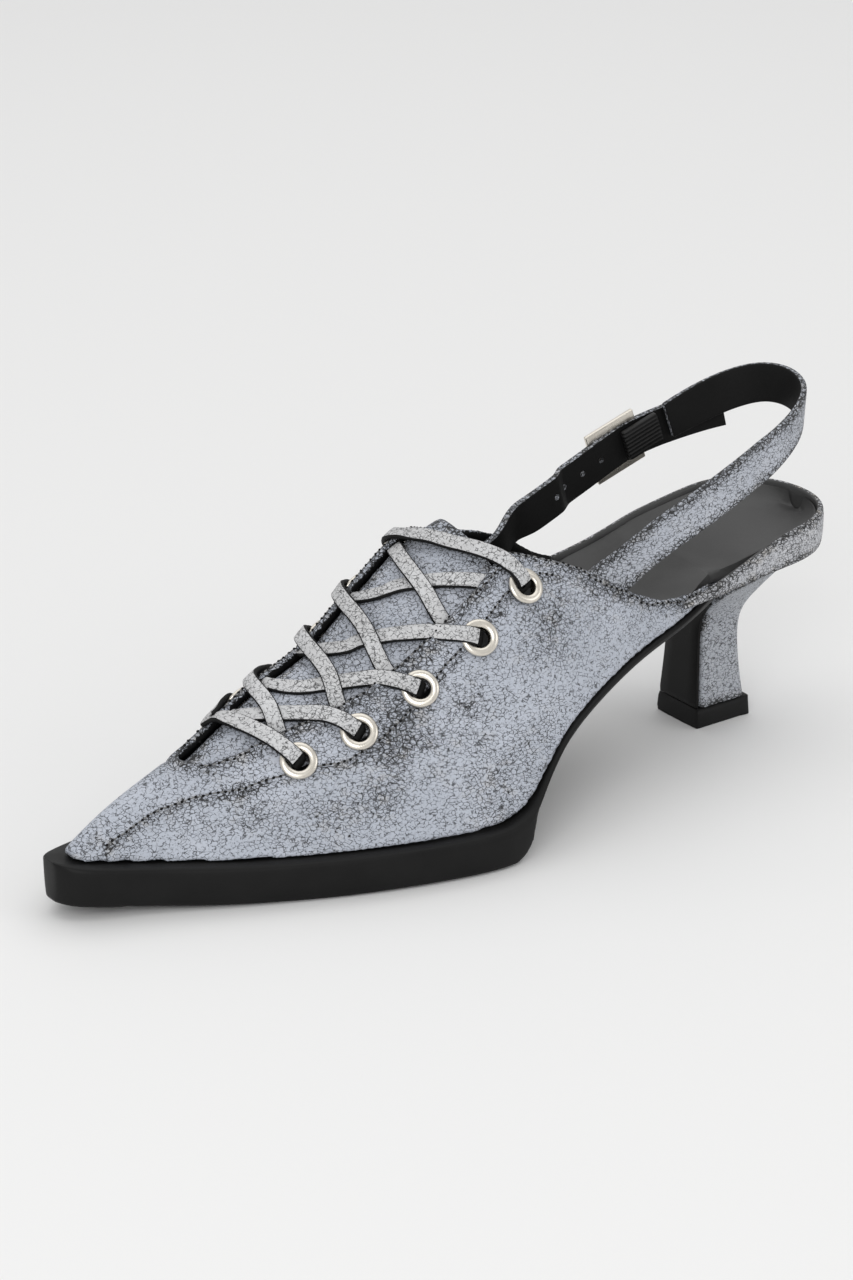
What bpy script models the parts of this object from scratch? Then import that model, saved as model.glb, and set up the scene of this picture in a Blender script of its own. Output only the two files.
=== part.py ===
"""Lace up heel, a left shoe: pointed slingback with a flared heel and a thin platform.

Metres, +Z up. The origin is the middle of the heel tip on the floor. +X runs to the toe and +Y to
the wearer's left, which is the outer side of this left shoe.
"""
import math

import bmesh
import bpy
import numpy as np
from mathutils import Matrix, Vector

MM = 0.001

# Overall sizes
LENGTH = 266.0 * MM            # seat edge to toe tip
SEAT_OVERHANG = 36.0 * MM      # seat edge behind the middle of the heel tip
BALL_WIDTH = 87.5 * MM         # outsole across the ball
SEAT_WIDTH = 50.0 * MM         # across the rim of the heel seat
BREAST_HEIGHT = 44.5 * MM      # floor to the sole where the heel starts
SEAT_RISE = 5.0 * MM           # how much higher the seat is at its rear
INSTEP_HEIGHT = 86.0 * MM      # floor to the crest of the last above the throat

# Sole
PLATFORM = 11.5 * MM
TOE_SPRING = 5.0 * MM
SPRING_START = 0.755           # share of the length where the sole leaves the floor
BREAST = 0.188                 # share of the length where the sole meets the heel
SHANK_SOLE = 2.4 * MM          # thin sole in the waist
BREAST_SOLE = 4.3 * MM         # the same sole where it meets the heel
TOP_BEVEL = 0.9 * MM
PLATFORM_END = 0.522           # share of the length where the platform stops at the rear
PLATFORM_ROUND = 11.0 * MM     # its rounded end

# Upper
WALL = 1.6 * MM
SEAM_STEP = 0.7 * MM           # the facing piece lies on the side piece
TOE_INSET = 5.6 * MM           # platform tip to upper tip
THROAT_START = 0.838
LATERAL_CORNER = 0.470         # where each facing meets the topline
MEDIAL_CORNER = 0.519
LATERAL_END = 0.194            # where each side ends at the rear
MEDIAL_END = 0.292

# Pieces inside and on the upper
CLEAR = 0.3 * MM
SOCK = 3.0 * MM                # insole in the forefoot
SOCK_SEAT = 4.5 * MM           # insole at the seat
RIM_WALL = 2.2 * MM
RIM_TUCK = 0.9 * MM            # heel cover set in from the edge of the rim
RIM_RISE = 11.6 * MM           # rim above the seat at the rear
TONGUE_THICK = 1.4 * MM
TONGUE_GAP = 0.5 * MM
TONGUE_START = 0.875
TONGUE_END = 0.497
TONGUE_TUCK = 11.0 * MM        # how far it reaches under each facing
BRIDGE_ARCH = 0.10             # how high it bows between them, as a share of the gap

# Heel
TOP_PIECE = 6.2 * MM
TIP_LENGTH = 20.3 * MM
TIP_WIDTH = 20.0 * MM
FLAP = 1.0 * MM                # sole leather that runs down the breast

# Eyelets
EYELETS = 5
EYELET_OUTER = 10.4 * MM
EYELET_HOLE = 5.6 * MM
EYELET_METAL = 0.7 * MM
EYELET_LIFT = 0.55 * MM        # flat flange above the middle of the curved leather
EYELET_FLANGE = 0.9 * MM

# Lace and strap
LACE_WIDTH = 5.4 * MM
LACE_THICK = 1.4 * MM
STRAP_WIDTH = 12.0 * MM
STRAP_THICK = 2.0 * MM
STRAP_HEIGHT = 98.5 * MM       # floor to the middle of the strap behind the heel
HOLE_PITCH = 7.0 * MM
HOLE_SIZE = 2.0 * MM
BUCKLE_LENGTH = 17.0 * MM
BUCKLE_WIRE = 2.2 * MM

LATERAL, MEDIAL = 1, -1

# Outline of the sole from tip to breast: share of the length, and the two sides of the
# heel to toe line as shares of the ball width.
OUTLINE = dict(
    along=(1.000, 0.998, 0.990, 0.965, 0.935, 0.895, 0.845, 0.776, 0.712, 0.662, 0.615, 0.568,
           0.530, 0.498, 0.460, 0.418, 0.370, 0.322, 0.270, 0.225, 0.188),
    lateral=(0.090, 0.108, 0.143, 0.187, 0.217, 0.268, 0.345, 0.437, 0.514, 0.562, 0.595, 0.615,
             0.608, 0.566, 0.513, 0.464, 0.411, 0.364, 0.313, 0.267, 0.222),
    medial=(-0.028, -0.008, 0.013, 0.052, 0.087, 0.137, 0.192, 0.255, 0.307, 0.343, 0.368, 0.384,
            0.386, 0.374, 0.352, 0.330, 0.311, 0.300, 0.288, 0.262, 0.222),
)

# How far the sole stands out past the upper.
LEDGE = dict(
    along=(1.000, 0.900, 0.600, 0.540, 0.505, 0.480, 0.188),
    out=(5.2 * MM, 4.4 * MM, 3.6 * MM, 3.0 * MM, 1.8 * MM, 0.9 * MM, 0.4 * MM),
)

# Height of the waist, from the platform up to the breast, as a share of the climb.
WAIST = dict(
    along=(0.600, 0.560, 0.532, 0.520, 0.505, 0.491, 0.457, 0.415, 0.366, 0.320, 0.260, 0.188),
    climb=(0.000, 0.015, 0.075, 0.140, 0.250, 0.350, 0.530, 0.650, 0.755, 0.835, 0.890, 1.000),
)

# Crest of the last: where it lies beside the heel to toe line as a share of the ball width, its
# height as a share of the instep height, and how full each side is below it.
CREST = dict(
    along=(0.978, 0.965, 0.920, 0.871, 0.836, 0.785, 0.740, 0.672, 0.608, 0.570, 0.536, 0.495,
           0.460, 0.408, 0.325, 0.234, 0.188),
    aside=(0.066, 0.060, 0.040, 0.017, 0.000, -0.015, -0.023, -0.034, -0.034, -0.034, -0.034,
           -0.030, -0.023, -0.011, 0.000, 0.000, 0.000),
    height=(0.218, 0.247, 0.302, 0.352, 0.387, 0.464, 0.547, 0.634, 0.785, 0.880, 0.955, 0.990,
            1.000, 1.000, 0.950, 0.885, 0.860),
    lateral=(0.60, 0.52, 0.45, 0.38, 0.34, 0.33, 0.34, 0.46, 0.50, 0.55, 0.59, 0.63,
             0.66, 0.68, 0.70, 0.95, 1.00),
    medial=(0.60, 0.58, 0.54, 0.50, 0.48, 0.46, 0.45, 0.46, 0.60, 0.68, 0.72, 0.76,
            0.80, 0.84, 0.88, 0.95, 1.00),
)

# Edges of the throat, as shares of the ball width beside the heel to toe line.
THROAT = dict(
    along=(0.838, 0.832, 0.820, 0.800, 0.776, 0.738, 0.672, 0.608, 0.554, 0.519, 0.500, 0.470),
    lateral=(0.000, 0.052, 0.078, 0.100, 0.122, 0.145, 0.194, 0.229, 0.246, 0.240, 0.226, 0.190),
    medial=(0.000, -0.020, -0.028, -0.036, -0.047, -0.062, -0.097, -0.123, -0.140, -0.137,
            -0.134, -0.130),
)

# Middles of the eyelets: along the shoe, and how far back from the edge of the facing.
EYELET_ROW = {
    LATERAL: dict(along=(0.737, 0.672, 0.603, 0.533, 0.466),
                  back=(9.9 * MM, 9.2 * MM, 9.6 * MM, 11.2 * MM, 12.0 * MM)),
    MEDIAL: dict(along=(0.737, 0.684, 0.630, 0.576, 0.523),
                 back=(8.4 * MM, 8.4 * MM, 8.4 * MM, 8.4 * MM, 8.4 * MM)),
}

# Topline behind each facing, as shares of the instep height.
TOPLINE = {
    LATERAL: dict(along=(0.470, 0.452, 0.408, 0.370, 0.333, 0.295, 0.258, 0.225, 0.194),
                  height=(0.890, 0.880, 0.835, 0.779, 0.702, 0.636, 0.610, 0.600, 0.602)),
    MEDIAL: dict(along=(0.519, 0.475, 0.420, 0.370, 0.333, 0.310, 0.292),
                 height=(0.880, 0.853, 0.810, 0.750, 0.672, 0.625, 0.612)),
}

# Line where the facing piece lies on the side piece, as a share of the height below the crest.
SEAM = dict(
    along=(0.960, 0.945, 0.925, 0.909, 0.868, 0.793, 0.702, 0.646, 0.590, 0.530, 0.473, 0.420),
    height=(0.10, 0.35, 0.52, 0.62, 0.66, 0.55, 0.48, 0.52, 0.60, 0.66, 0.72, 0.78),
)

# Heel above its tip: share of the height from tip to seat, breast and rear edge as shares of the
# tip length, width as a share of the tip width, how far the front, back and sides have then
# flared out to the edge of the seat, how round the rear is, and how much of the slope of the
# seat the row takes.
HEEL = dict(
    up=(0.00, 0.16, 0.33, 0.50, 0.61, 0.70, 0.77, 0.84, 0.91, 0.96, 1.00),
    breast=(0.475, 0.460, 0.443, 0.433, 0.433, 0.433, 0.433, 0.433, 0.433, 0.433, 0.433),
    rear=(-0.450, -0.405, -0.380, -0.385, -0.385, -0.385, -0.385, -0.385, -0.385, -0.385, -0.385),
    width=(0.960, 0.895, 0.845, 0.805, 0.805, 0.805, 0.805, 0.805, 0.805, 0.805, 0.805),
    front_flare=(0.00, 0.00, 0.00, 0.00, 0.00, 0.07, 0.26, 0.57, 0.90, 1.00, 1.00),
    back_flare=(0.00, 0.00, 0.00, 0.00, 0.05, 0.17, 0.34, 0.54, 0.75, 0.90, 1.00),
    side_flare=(0.00, 0.00, 0.00, 0.00, 0.01, 0.10, 0.26, 0.47, 0.72, 0.90, 1.00),
    round=(0.30, 0.34, 0.40, 0.48, 0.58, 0.70, 0.80, 0.88, 0.94, 0.98, 1.00),
    slope=(0.00, 0.00, 0.00, 0.00, 0.00, 0.05, 0.20, 0.45, 0.75, 0.92, 1.00),
)

# Rim round the seat: how high its top stands above the seat, as a share of its rise at the rear.
RIM_TOP = {
    LATERAL: dict(along=(0.190, 0.165, 0.124, 0.094, 0.040, 0.000),
                  rise=(0.28, 0.52, 0.84, 0.96, 0.99, 1.00)),
    MEDIAL: dict(along=(0.290, 0.215, 0.140, 0.094, 0.040, 0.000),
                 rise=(0.75, 0.88, 0.92, 0.97, 1.00, 1.00)),
}

# Middle line of the strap from the outer side round the back to the inner side: places along
# the shoe, across as a share of the seat width and up as a share of the strap height.
SLING = dict(
    along=(0.333, 0.288, 0.245, 0.203, 0.154, 0.109, 0.071, 0.043, 0.030, 0.037, 0.058, 0.094,
           0.145, 0.190),
    across=(0.450, 0.500, 0.530, 0.530, 0.495, 0.440, 0.350, 0.205, 0.000, -0.180, -0.320, -0.410,
            -0.450, -0.470),
    up=(0.640, 0.735, 0.792, 0.840, 0.885, 0.925, 0.963, 0.990, 1.000, 0.995, 0.967, 0.925,
        0.873, 0.827),
)
FRONT_STRAP = dict(
    along=(0.365, 0.330, 0.285, 0.250),
    across=(-0.450, -0.465, -0.485, -0.505),
    up=(0.690, 0.707, 0.737, 0.766),
)


def place(along):
    """X of a share of the length."""
    return along * LENGTH - SEAT_OVERHANG


def share(x):
    """Share of the length at an X."""
    return (x + SEAT_OVERHANG) / LENGTH


def smooth(xs, ys, x):
    """A smooth curve through a short table that never overshoots its rows."""
    order = np.argsort(xs)
    xs, ys = np.asarray(xs, float)[order], np.asarray(ys, float)[order]
    x = min(max(x, xs[0]), xs[-1])
    step, rise = np.diff(xs), np.diff(ys)
    slope = rise / step
    tangent = np.zeros(len(xs))
    tangent[0], tangent[-1] = slope[0], slope[-1]
    for k in range(1, len(xs) - 1):
        if slope[k - 1] * slope[k] > 0.0:
            before, after = 2 * step[k] + step[k - 1], step[k] + 2 * step[k - 1]
            tangent[k] = (before + after) / (before / slope[k - 1] + after / slope[k])
    k = min(max(int(np.searchsorted(xs, x)) - 1, 0), len(step) - 1)
    t = (x - xs[k]) / step[k]
    return float((1 + 2 * t) * (1 - t) ** 2 * ys[k] + t * (1 - t) ** 2 * step[k] * tangent[k]
                 + t * t * (3 - 2 * t) * ys[k + 1] + t * t * (t - 1) * step[k] * tangent[k + 1])


def column(table, name, x, unit=1.0):
    """One column of a table read at an X."""
    return smooth(table["along"], table[name], share(x)) * unit


def sole_edge(x, side):
    """Y of the edge of the sole on one side."""
    return side * column(OUTLINE, "lateral" if side == LATERAL else "medial", x, BALL_WIDTH)


def spring(x):
    """Lift of the toe above the floor."""
    reach = (share(x) - SPRING_START) / (1.0 - SPRING_START)
    return TOE_SPRING * max(reach, 0.0) ** 2


def waist_climb(x):
    """Climb of the waist towards the breast, from 0 to 1."""
    return column(WAIST, "climb", x)


def sole_top(x):
    """Height of the top of the sole."""
    level = PLATFORM + spring(x)
    seat = BREAST_HEIGHT + BREAST_SOLE
    return level + waist_climb(x) * (seat - level)


def waist_thickness(x):
    """Thickness of the sole behind the platform."""
    near_breast = max(0.0, 1.0 - (share(x) - 0.188) / 0.10)
    return SHANK_SOLE + (BREAST_SOLE - SHANK_SOLE) * near_breast ** 1.5


def sole_bottom(x):
    """Height of the underside: the floor under the platform, then its rounded end, then the waist."""
    thin = sole_top(x) - waist_thickness(x)
    start = place(PLATFORM_END)
    past = start + PLATFORM_ROUND - x
    if past <= 0.0:
        return spring(x)
    if past >= PLATFORM_ROUND:
        return thin
    turn = past / PLATFORM_ROUND
    lift = 1.0 - math.sqrt(max(1.0 - turn ** 2.6, 0.0))
    return lift * thin + spring(x)


def seat_level(x):
    """Height of the top of the heel, which the insole lies on."""
    breast = place(BREAST)
    back = min(max((breast - x) / (breast + SEAT_OVERHANG), 0.0), 1.0)
    return BREAST_HEIGHT + BREAST_SOLE + SEAT_RISE * math.sin(back * math.pi / 2) ** 0.8


def foot_bed(x):
    """Height of what carries the insole: the sole, and behind the breast the heel."""
    return sole_top(x) if x >= place(BREAST) else seat_level(x)


def feather(x, side):
    """Lower edge of the upper on one side: Y and Z."""
    out = smooth(LEDGE["along"], LEDGE["out"], share(x))
    return sole_edge(x, side) - side * out, sole_top(x) + CLEAR


def crest(x):
    """Top line of the last: Y and Z."""
    return column(CREST, "aside", x, BALL_WIDTH), column(CREST, "height", x, INSTEP_HEIGHT)


def half_section(x, side, t):
    """Point of the last's skin at an X, from the lower edge at t = 0 to the crest at t = 1."""
    edge_y, edge_z = feather(x, side)
    top_y, top_z = crest(x)
    full = column(CREST, "lateral" if side == LATERAL else "medial", x)
    width, height = edge_y - top_y, top_z - edge_z
    y1, z1 = edge_y - 0.45 * (1.0 - full) * width, edge_z + (0.15 + 0.40 * full) * height
    y2, z2 = top_y + (0.20 + 0.35 * full) * width, top_z
    a, b, c, d = (1 - t) ** 3, 3 * t * (1 - t) ** 2, 3 * t * t * (1 - t), t ** 3
    return Vector((x, a * edge_y + b * y1 + c * y2 + d * top_y,
                   a * edge_z + b * z1 + c * z2 + d * top_z))


def skin_normal(x, side, t):
    """Outward direction of the last's skin."""
    step = 0.4 * MM
    low, high = max(t - 0.01, 0.0), min(t + 0.01, 1.0)
    ahead = half_section(x + step, side, t) - half_section(x - step, side, t)
    around = half_section(x, side, high) - half_section(x, side, low)
    out = around.cross(ahead) if side == LATERAL else ahead.cross(around)
    return out.normalized()


def solve(reading, target):
    """Where a reading that rises from t = 0 to t = 1 meets its target."""
    low, high = 0.0, 1.0
    for _ in range(36):
        middle = 0.5 * (low + high)
        if reading(middle) < target:
            low = middle
        else:
            high = middle
    return 0.5 * (low + high)


def turn_at_y(x, side, y):
    """Place round the section where it passes a Y."""
    return solve(lambda t: -side * half_section(x, side, t).y, -side * y)


def turn_at_z(x, side, z):
    """Place round the section where it passes a Z."""
    return solve(lambda t: half_section(x, side, t).z, z)


def throat_turn(x, side):
    """Place round the section of the edge of the throat."""
    name = "lateral" if side == LATERAL else "medial"
    return turn_at_y(x, side, column(THROAT, name, x, BALL_WIDTH) + (crest(x)[0] - crest(place(
        THROAT_START))[0]) * max(0.0, share(x) - THROAT_START))


def edge_turn(x, side):
    """Place round the section where the leather ends: crest, then throat, then topline."""
    corner = place(LATERAL_CORNER if side == LATERAL else MEDIAL_CORNER)
    if x >= place(THROAT_START) - 1e-6:
        return 1.0
    if x >= corner - 1e-6:
        return throat_turn(x, side)
    row = TOPLINE[side]
    start = half_section(corner, side, throat_turn(corner, side)).z / INSTEP_HEIGHT
    heights = (start,) + tuple(row["height"][1:])
    return turn_at_z(x, side, smooth(row["along"], heights, share(x)) * INSTEP_HEIGHT)


def seam_turn(x, side):
    """Place round the section of the lapped seam, kept between the two edges."""
    low, high = feather(x, side)[1], crest(x)[1]
    turn = turn_at_z(x, side, low + column(SEAM, "height", x) * (high - low))
    return min(turn, 0.86 * edge_turn(x, side))


def seam_step(x):
    """Height of the lap, which fades out at both its ends."""
    s = share(x)
    fade = min(max((s - 0.40) / 0.05, 0.0), 1.0) * min(max((0.955 - s) / 0.03, 0.0), 1.0)
    return SEAM_STEP * fade


def new_object(name, mesh, material, collection):
    """Links a mesh as one named piece."""
    piece = bpy.data.objects.new(name, mesh)
    piece.data.materials.clear()
    piece.data.materials.append(material)
    collection.objects.link(piece)
    return piece


def mesh_from(name, verts, faces):
    """A mesh with merged corners and faces pointing outwards."""
    mesh = bpy.data.meshes.new(name)
    work = bmesh.new()
    corners = [work.verts.new(v) for v in verts]
    for face in faces:
        ring = [corners[k] for k in face]
        if len(set(ring)) > 2:
            work.faces.new(ring)
    bmesh.ops.remove_doubles(work, verts=work.verts, dist=0.00001)
    bmesh.ops.triangulate(work, faces=work.faces)
    bmesh.ops.recalc_face_normals(work, faces=work.faces)
    if work.calc_volume(signed=True) < 0.0:
        bmesh.ops.reverse_faces(work, faces=work.faces)
    work.to_mesh(mesh)
    work.free()
    mesh.shade_smooth()
    mesh.set_sharp_from_angle(angle=math.radians(35.0))
    return mesh


def loft(name, rings, closed=False):
    """A solid through rings of equal length, capped at both ends unless it is closed."""
    count = len(rings[0])
    verts = [v for ring in rings for v in ring]
    faces = []
    last = len(rings) if closed else len(rings) - 1
    for i in range(last):
        for j in range(count):
            a, b = i * count + j, i * count + (j + 1) % count
            c, d = ((i + 1) % len(rings)) * count + (j + 1) % count, ((i + 1) % len(rings)) * count + j
            faces.append((a, b, c, d))
    if not closed:
        faces.append(tuple(range(count)))
        faces.append(tuple((len(rings) - 1) * count + j for j in range(count)))
    return mesh_from(name, verts, faces)


def cut(piece, cutter):
    """Cuts one solid out of another and keeps the cutter hidden."""
    modifier = piece.modifiers.new(cutter.name, "BOOLEAN")
    modifier.operation = "DIFFERENCE"
    modifier.solver = "EXACT"
    modifier.object = cutter
    cutter.hide_render = True
    cutter.display_type = "WIRE"


def spread(start, end, count):
    """Evenly spread values without the last one."""
    return [start + (end - start) * k / count for k in range(count)]


def upper_stations():
    """Stations of the upper from its tip to the rear of its outer side."""
    tip = share(place(1.0) - TOE_INSET)
    runs = [(tip, tip - 0.015, 2), (tip - 0.015, tip - 0.06, 2), (tip - 0.06, THROAT_START, 4),
            (THROAT_START, THROAT_START - 0.022, 3), (THROAT_START - 0.022, 0.74, 3),
            (0.74, MEDIAL_CORNER, 9), (MEDIAL_CORNER, LATERAL_CORNER, 2),
            (LATERAL_CORNER, MEDIAL_END, 7), (MEDIAL_END, LATERAL_END, 4)]
    values = [s for run in runs for s in spread(*run)] + [LATERAL_END]
    return [place(s) for s in values]


def inner_station(x, tip):
    """Station of the inside for one of the outside: it stops one wall short of the tip."""
    reach = min(max((x - (tip - 5 * WALL)) / (5 * WALL), 0.0), 1.0)
    return x - WALL * reach ** 1.5


def upper_turns(x, side):
    """Places round the section of the rows of the upper."""
    seam, edge = seam_turn(x, side), edge_turn(x, side)
    below = [seam * k / 4 for k in range(4)]
    above = [seam + (edge - seam) * k / 4 for k in range(1, 5)]
    lap = min(0.012, 0.3 * (edge - seam))
    return below + [seam - lap, seam] + above


def make_upper(leather, collection, cutters):
    """Pointed upper: one hollow shell, open below, at the throat and at the topline."""
    stations = upper_stations()
    tip = stations[0]
    verts, index, outer_rows = [], {}, {}
    for layer in ("outer", "inner"):
        for side in (LATERAL, MEDIAL):
            for i, x in enumerate(stations):
                if side == MEDIAL and x < place(MEDIAL_END) - 1e-6:
                    continue
                at = x if layer == "outer" else inner_station(x, tip)
                turns = upper_turns(x, side)
                base = half_section(at, side, 0.0)
                for j, t in enumerate(turns):
                    point, out = half_section(at, side, t), skin_normal(at, side, t)
                    if layer == "outer":
                        point = point + out * (seam_step(x) if j >= 5 else 0.0)
                    elif j == 0:
                        point = Vector((at, point.y - side * WALL / max(abs(out.y), 0.5), point.z))
                    else:
                        point = point - out * WALL
                        point.z = max(point.z, base.z + 0.1 * WALL * j)
                    shared = j == len(turns) - 1 and x >= place(THROAT_START) - 1e-6
                    if shared:
                        point.y = crest(at)[0]
                    key = (layer, 0 if shared else side, i, j)
                    if key not in index:
                        index[key] = len(verts)
                        verts.append(point)
                outer_rows[(side, i)] = len(turns)

    def corner(layer, side, i, j):
        key = (layer, side, i, j)
        return index[key] if key in index else index[(layer, 0, i, j)]

    sheet = []
    for side in (LATERAL, MEDIAL):
        for i in range(len(stations) - 1):
            if (side, i + 1) not in outer_rows:
                continue
            for j in range(outer_rows[(side, i)] - 1):
                sheet.append([(side, i, j), (side, i, j + 1), (side, i + 1, j + 1), (side, i + 1, j)])
    count = outer_rows[(LATERAL, 0)]
    sheet.append([(LATERAL, 0, j) for j in range(count)] + [(MEDIAL, 0, j) for j in range(count - 2, -1, -1)])
    faces, border = [], {}
    for layer in ("outer", "inner"):
        for face in sheet:
            faces.append(tuple(corner(layer, *key) for key in face))
    for face in sheet:
        for a, b in zip(face, face[1:] + face[:1]):
            ends = frozenset((corner("outer", *a), corner("outer", *b)))
            border.setdefault(ends, []).append((a, b))
    for pairs in border.values():
        if len(pairs) == 1:
            a, b = pairs[0]
            faces.append((corner("outer", *a), corner("outer", *b), corner("inner", *b), corner("inner", *a)))
    upper = new_object("upper", mesh_from("upper", verts, faces), leather, collection)
    for side in (LATERAL, MEDIAL):
        for number in range(EYELETS):
            middle, out = eyelet_seat(side, number)
            hole = bpy.data.meshes.new("hole")
            work = bmesh.new()
            radius = EYELET_HOLE / 2 + EYELET_METAL + CLEAR
            bmesh.ops.create_cone(work, cap_ends=True, segments=20, radius1=radius, radius2=radius,
                                  depth=8 * WALL, matrix=facing(middle, out))
            work.to_mesh(hole)
            work.free()
            cutter = bpy.data.objects.new("hole_%s_%d" % (side_name(side), number + 1), hole)
            cutters.objects.link(cutter)
            cut(upper, cutter)
    return upper


def corner_x(side):
    """X of the corner between facing and topline."""
    return place(LATERAL_CORNER if side == LATERAL else MEDIAL_CORNER)


def side_name(side):
    return "outer" if side == LATERAL else "inner"


def facing(middle, out):
    """A frame at a point with its Z along a direction."""
    return Matrix.Translation(middle) @ out.to_track_quat("Z", "Y").to_matrix().to_4x4()


def eyelet_seat(side, number):
    """Middle of an eyelet on the skin and the direction it faces."""
    row = EYELET_ROW[side]
    x = place(row["along"][number])
    turn = throat_turn(max(x, corner_x(side)), side)
    edge = half_section(x, side, turn)
    back = turn * solve(lambda t: -(half_section(x, side, t * turn) - edge).length, -row["back"][number])
    out = skin_normal(x, side, back)
    return half_section(x, side, back) + out * SEAM_STEP, out


def make_eyelets(metal, collection):
    """Turned metal eyelets: a rounded flange on the leather and a barrel through it."""
    inner, outer = EYELET_HOLE / 2, EYELET_OUTER / 2
    lift = EYELET_LIFT
    high = lift + EYELET_FLANGE
    low = -WALL - CLEAR
    profile = [(inner, low), (inner + EYELET_METAL, low), (inner + EYELET_METAL, lift), (outer, lift),
               ((inner + outer) / 2, high), (inner + 0.2 * MM, high - 0.3 * MM)]
    steps = 12
    for side in (LATERAL, MEDIAL):
        for number in range(EYELETS):
            middle, out = eyelet_seat(side, number)
            frame = facing(middle, out)
            rings = []
            for k in range(steps):
                angle = 2 * math.pi * k / steps
                rings.append([frame @ Vector((r * math.cos(angle), r * math.sin(angle), z))
                              for r, z in profile])
            name = "eyelet_%s_%d" % (side_name(side), number + 1)
            new_object(name, loft(name, rings, closed=True), metal, collection)


def tucked(x, side, edge, distance):
    """Place round the section that lies a distance under a facing from its edge."""
    start = half_section(x, side, edge)
    return edge * solve(lambda t: -(half_section(x, side, t * edge) - start).length, -distance)


def over_throat(x_lateral, x_medial, across):
    """Point and direction of the bridge between the facings, from the outer edge at 0 to the inner at 1."""
    ends = []
    for side, x in ((LATERAL, x_lateral), (MEDIAL, x_medial)):
        turn = throat_turn(min(max(x, corner_x(side)), place(THROAT_START - 0.01)), side)
        ends.append((half_section(x, side, turn), skin_normal(x, side, turn)))
    (a, out_a), (b, out_b) = ends
    out = out_a.lerp(out_b, across).normalized()
    arch = BRIDGE_ARCH * (a - b).length * 4 * across * (1 - across)
    return a.lerp(b, across) + out * arch, out


def make_tongue(leather, collection):
    """Tongue: a curved sheet under both facings, from inside the vamp to the topline."""
    top, under = [], []
    stations = [place(s) for s in spread(TONGUE_START, TONGUE_END, 18)] + [place(TONGUE_END)]
    for x in stations:
        row_top, row_under = [], []
        edges = {side: throat_turn(min(max(x, corner_x(side)), place(THROAT_START - 0.01)), side)
                 for side in (LATERAL, MEDIAL)}
        points = [(LATERAL, k) for k in (1.0, 0.5)] + [(0, k / 4) for k in range(5)]
        points += [(MEDIAL, k) for k in (0.5, 1.0)]
        for side, k in points:
            if side:
                turn = tucked(x, side, edges[side], k * TONGUE_TUCK)
                spot, out = half_section(x, side, turn), skin_normal(x, side, turn)
            else:
                spot, out = over_throat(x, x, k)
            depth = WALL + TONGUE_GAP + 0.5 * MM * min(max((share(x) - 0.80) / 0.02, 0.0), 1.0)
            row_top.append(spot - out * depth)
            row_under.append(spot - out * (depth + TONGUE_THICK))
        top.append(row_top)
        under.append(row_under)
    rings = [a + b[::-1] for a, b in zip(top, under)]
    new_object("tongue", loft("tongue", rings), leather, collection)


def make_outsole(rubber, collection):
    """Outsole: a flat platform under the forefoot that thins into the waist up to the breast."""
    shares = [1.0, 0.9985, 0.994, 0.985, 0.968, 0.94, 0.90, 0.85, 0.80, 0.755, 0.71, 0.66, 0.615, 0.585]
    start = share(place(PLATFORM_END) + PLATFORM_ROUND)
    shares += [start - (start - PLATFORM_END) * k / 7 for k in range(8)]
    shares += [PLATFORM_END - 0.008, 0.500, 0.484, 0.465, 0.440, 0.410, 0.375, 0.335, 0.295,
               0.26, 0.23, 0.208, 0.1885]
    rings = []
    for s in shares:
        x = place(s)
        low, high = sole_bottom(x), sole_top(x)
        left, right = sole_edge(x, LATERAL), sole_edge(x, MEDIAL)
        width = left - right
        tuck = min(0.8 * MM + 2.2 * MM * max(0.0, 1.0 - (s - 0.188) / 0.06), 0.2 * width)
        bevel = min(TOP_BEVEL, 0.3 * (high - low))
        ring = [Vector((x, left - tuck, low)), Vector((x, left - 0.2 * tuck, low + 0.3 * (high - low))),
                Vector((x, left, high - bevel)), Vector((x, left - bevel, high)),
                Vector((x, left - 0.33 * width, high)), Vector((x, right + 0.33 * width, high)),
                Vector((x, right + bevel, high)), Vector((x, right, high - bevel)),
                Vector((x, right + 0.2 * tuck, low + 0.3 * (high - low))), Vector((x, right + tuck, low)),
                Vector((x, right + 0.33 * width, low)), Vector((x, left - 0.33 * width, low))]
        rings.append(ring)
    new_object("outsole", loft("outsole", rings), rubber, collection)


def seat_half(x, side):
    """Half width of the seat: the waist outline, then a round end."""
    joint = place(0.094)
    if x >= joint:
        front = abs(feather(max(x, place(BREAST)), side)[0])
        blend = min(max((place(0.29) - x) / (place(0.29) - place(BREAST)), 0.0), 1.0)
        return front + (SEAT_WIDTH / 2 - front) * blend ** 0.8
    back = (joint - x) / (joint + SEAT_OVERHANG)
    return SEAT_WIDTH / 2 * math.sqrt(max(1.0 - back ** 2.15, 0.0))


def seat_walk(inset, lateral_from, medial_from, count):
    """Points round the seat from the outer side to the inner side, moved in by an inset."""
    joint = place(0.094)
    path = []
    for side, start in ((LATERAL, lateral_from), (MEDIAL, medial_from)):
        leg = []
        for k in range(count + 1):
            x = start + (joint - start) * k / count
            leg.append((x, side * (seat_half(x, side) - inset), side))
        for k in range(1, count + 1):
            angle = 0.5 * math.pi * k / count
            reach = joint + SEAT_OVERHANG
            x = joint - (reach - inset) * math.sin(angle)
            y = side * (SEAT_WIDTH / 2 - inset) * max(math.cos(angle), 0.0) ** 0.95
            leg.append((x, y, side))
        path.append(leg)
    return path[0] + path[1][-2::-1]


def rim_height(x, side):
    """Height of the top of the rim."""
    row = RIM_TOP[side]
    return foot_bed(x) + smooth(row["along"], row["rise"], share(x)) * RIM_RISE


def rim_seam(x):
    """Height of the lower edge of the rim, which lies on the heel and on the waist."""
    return foot_bed(x) + CLEAR


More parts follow.
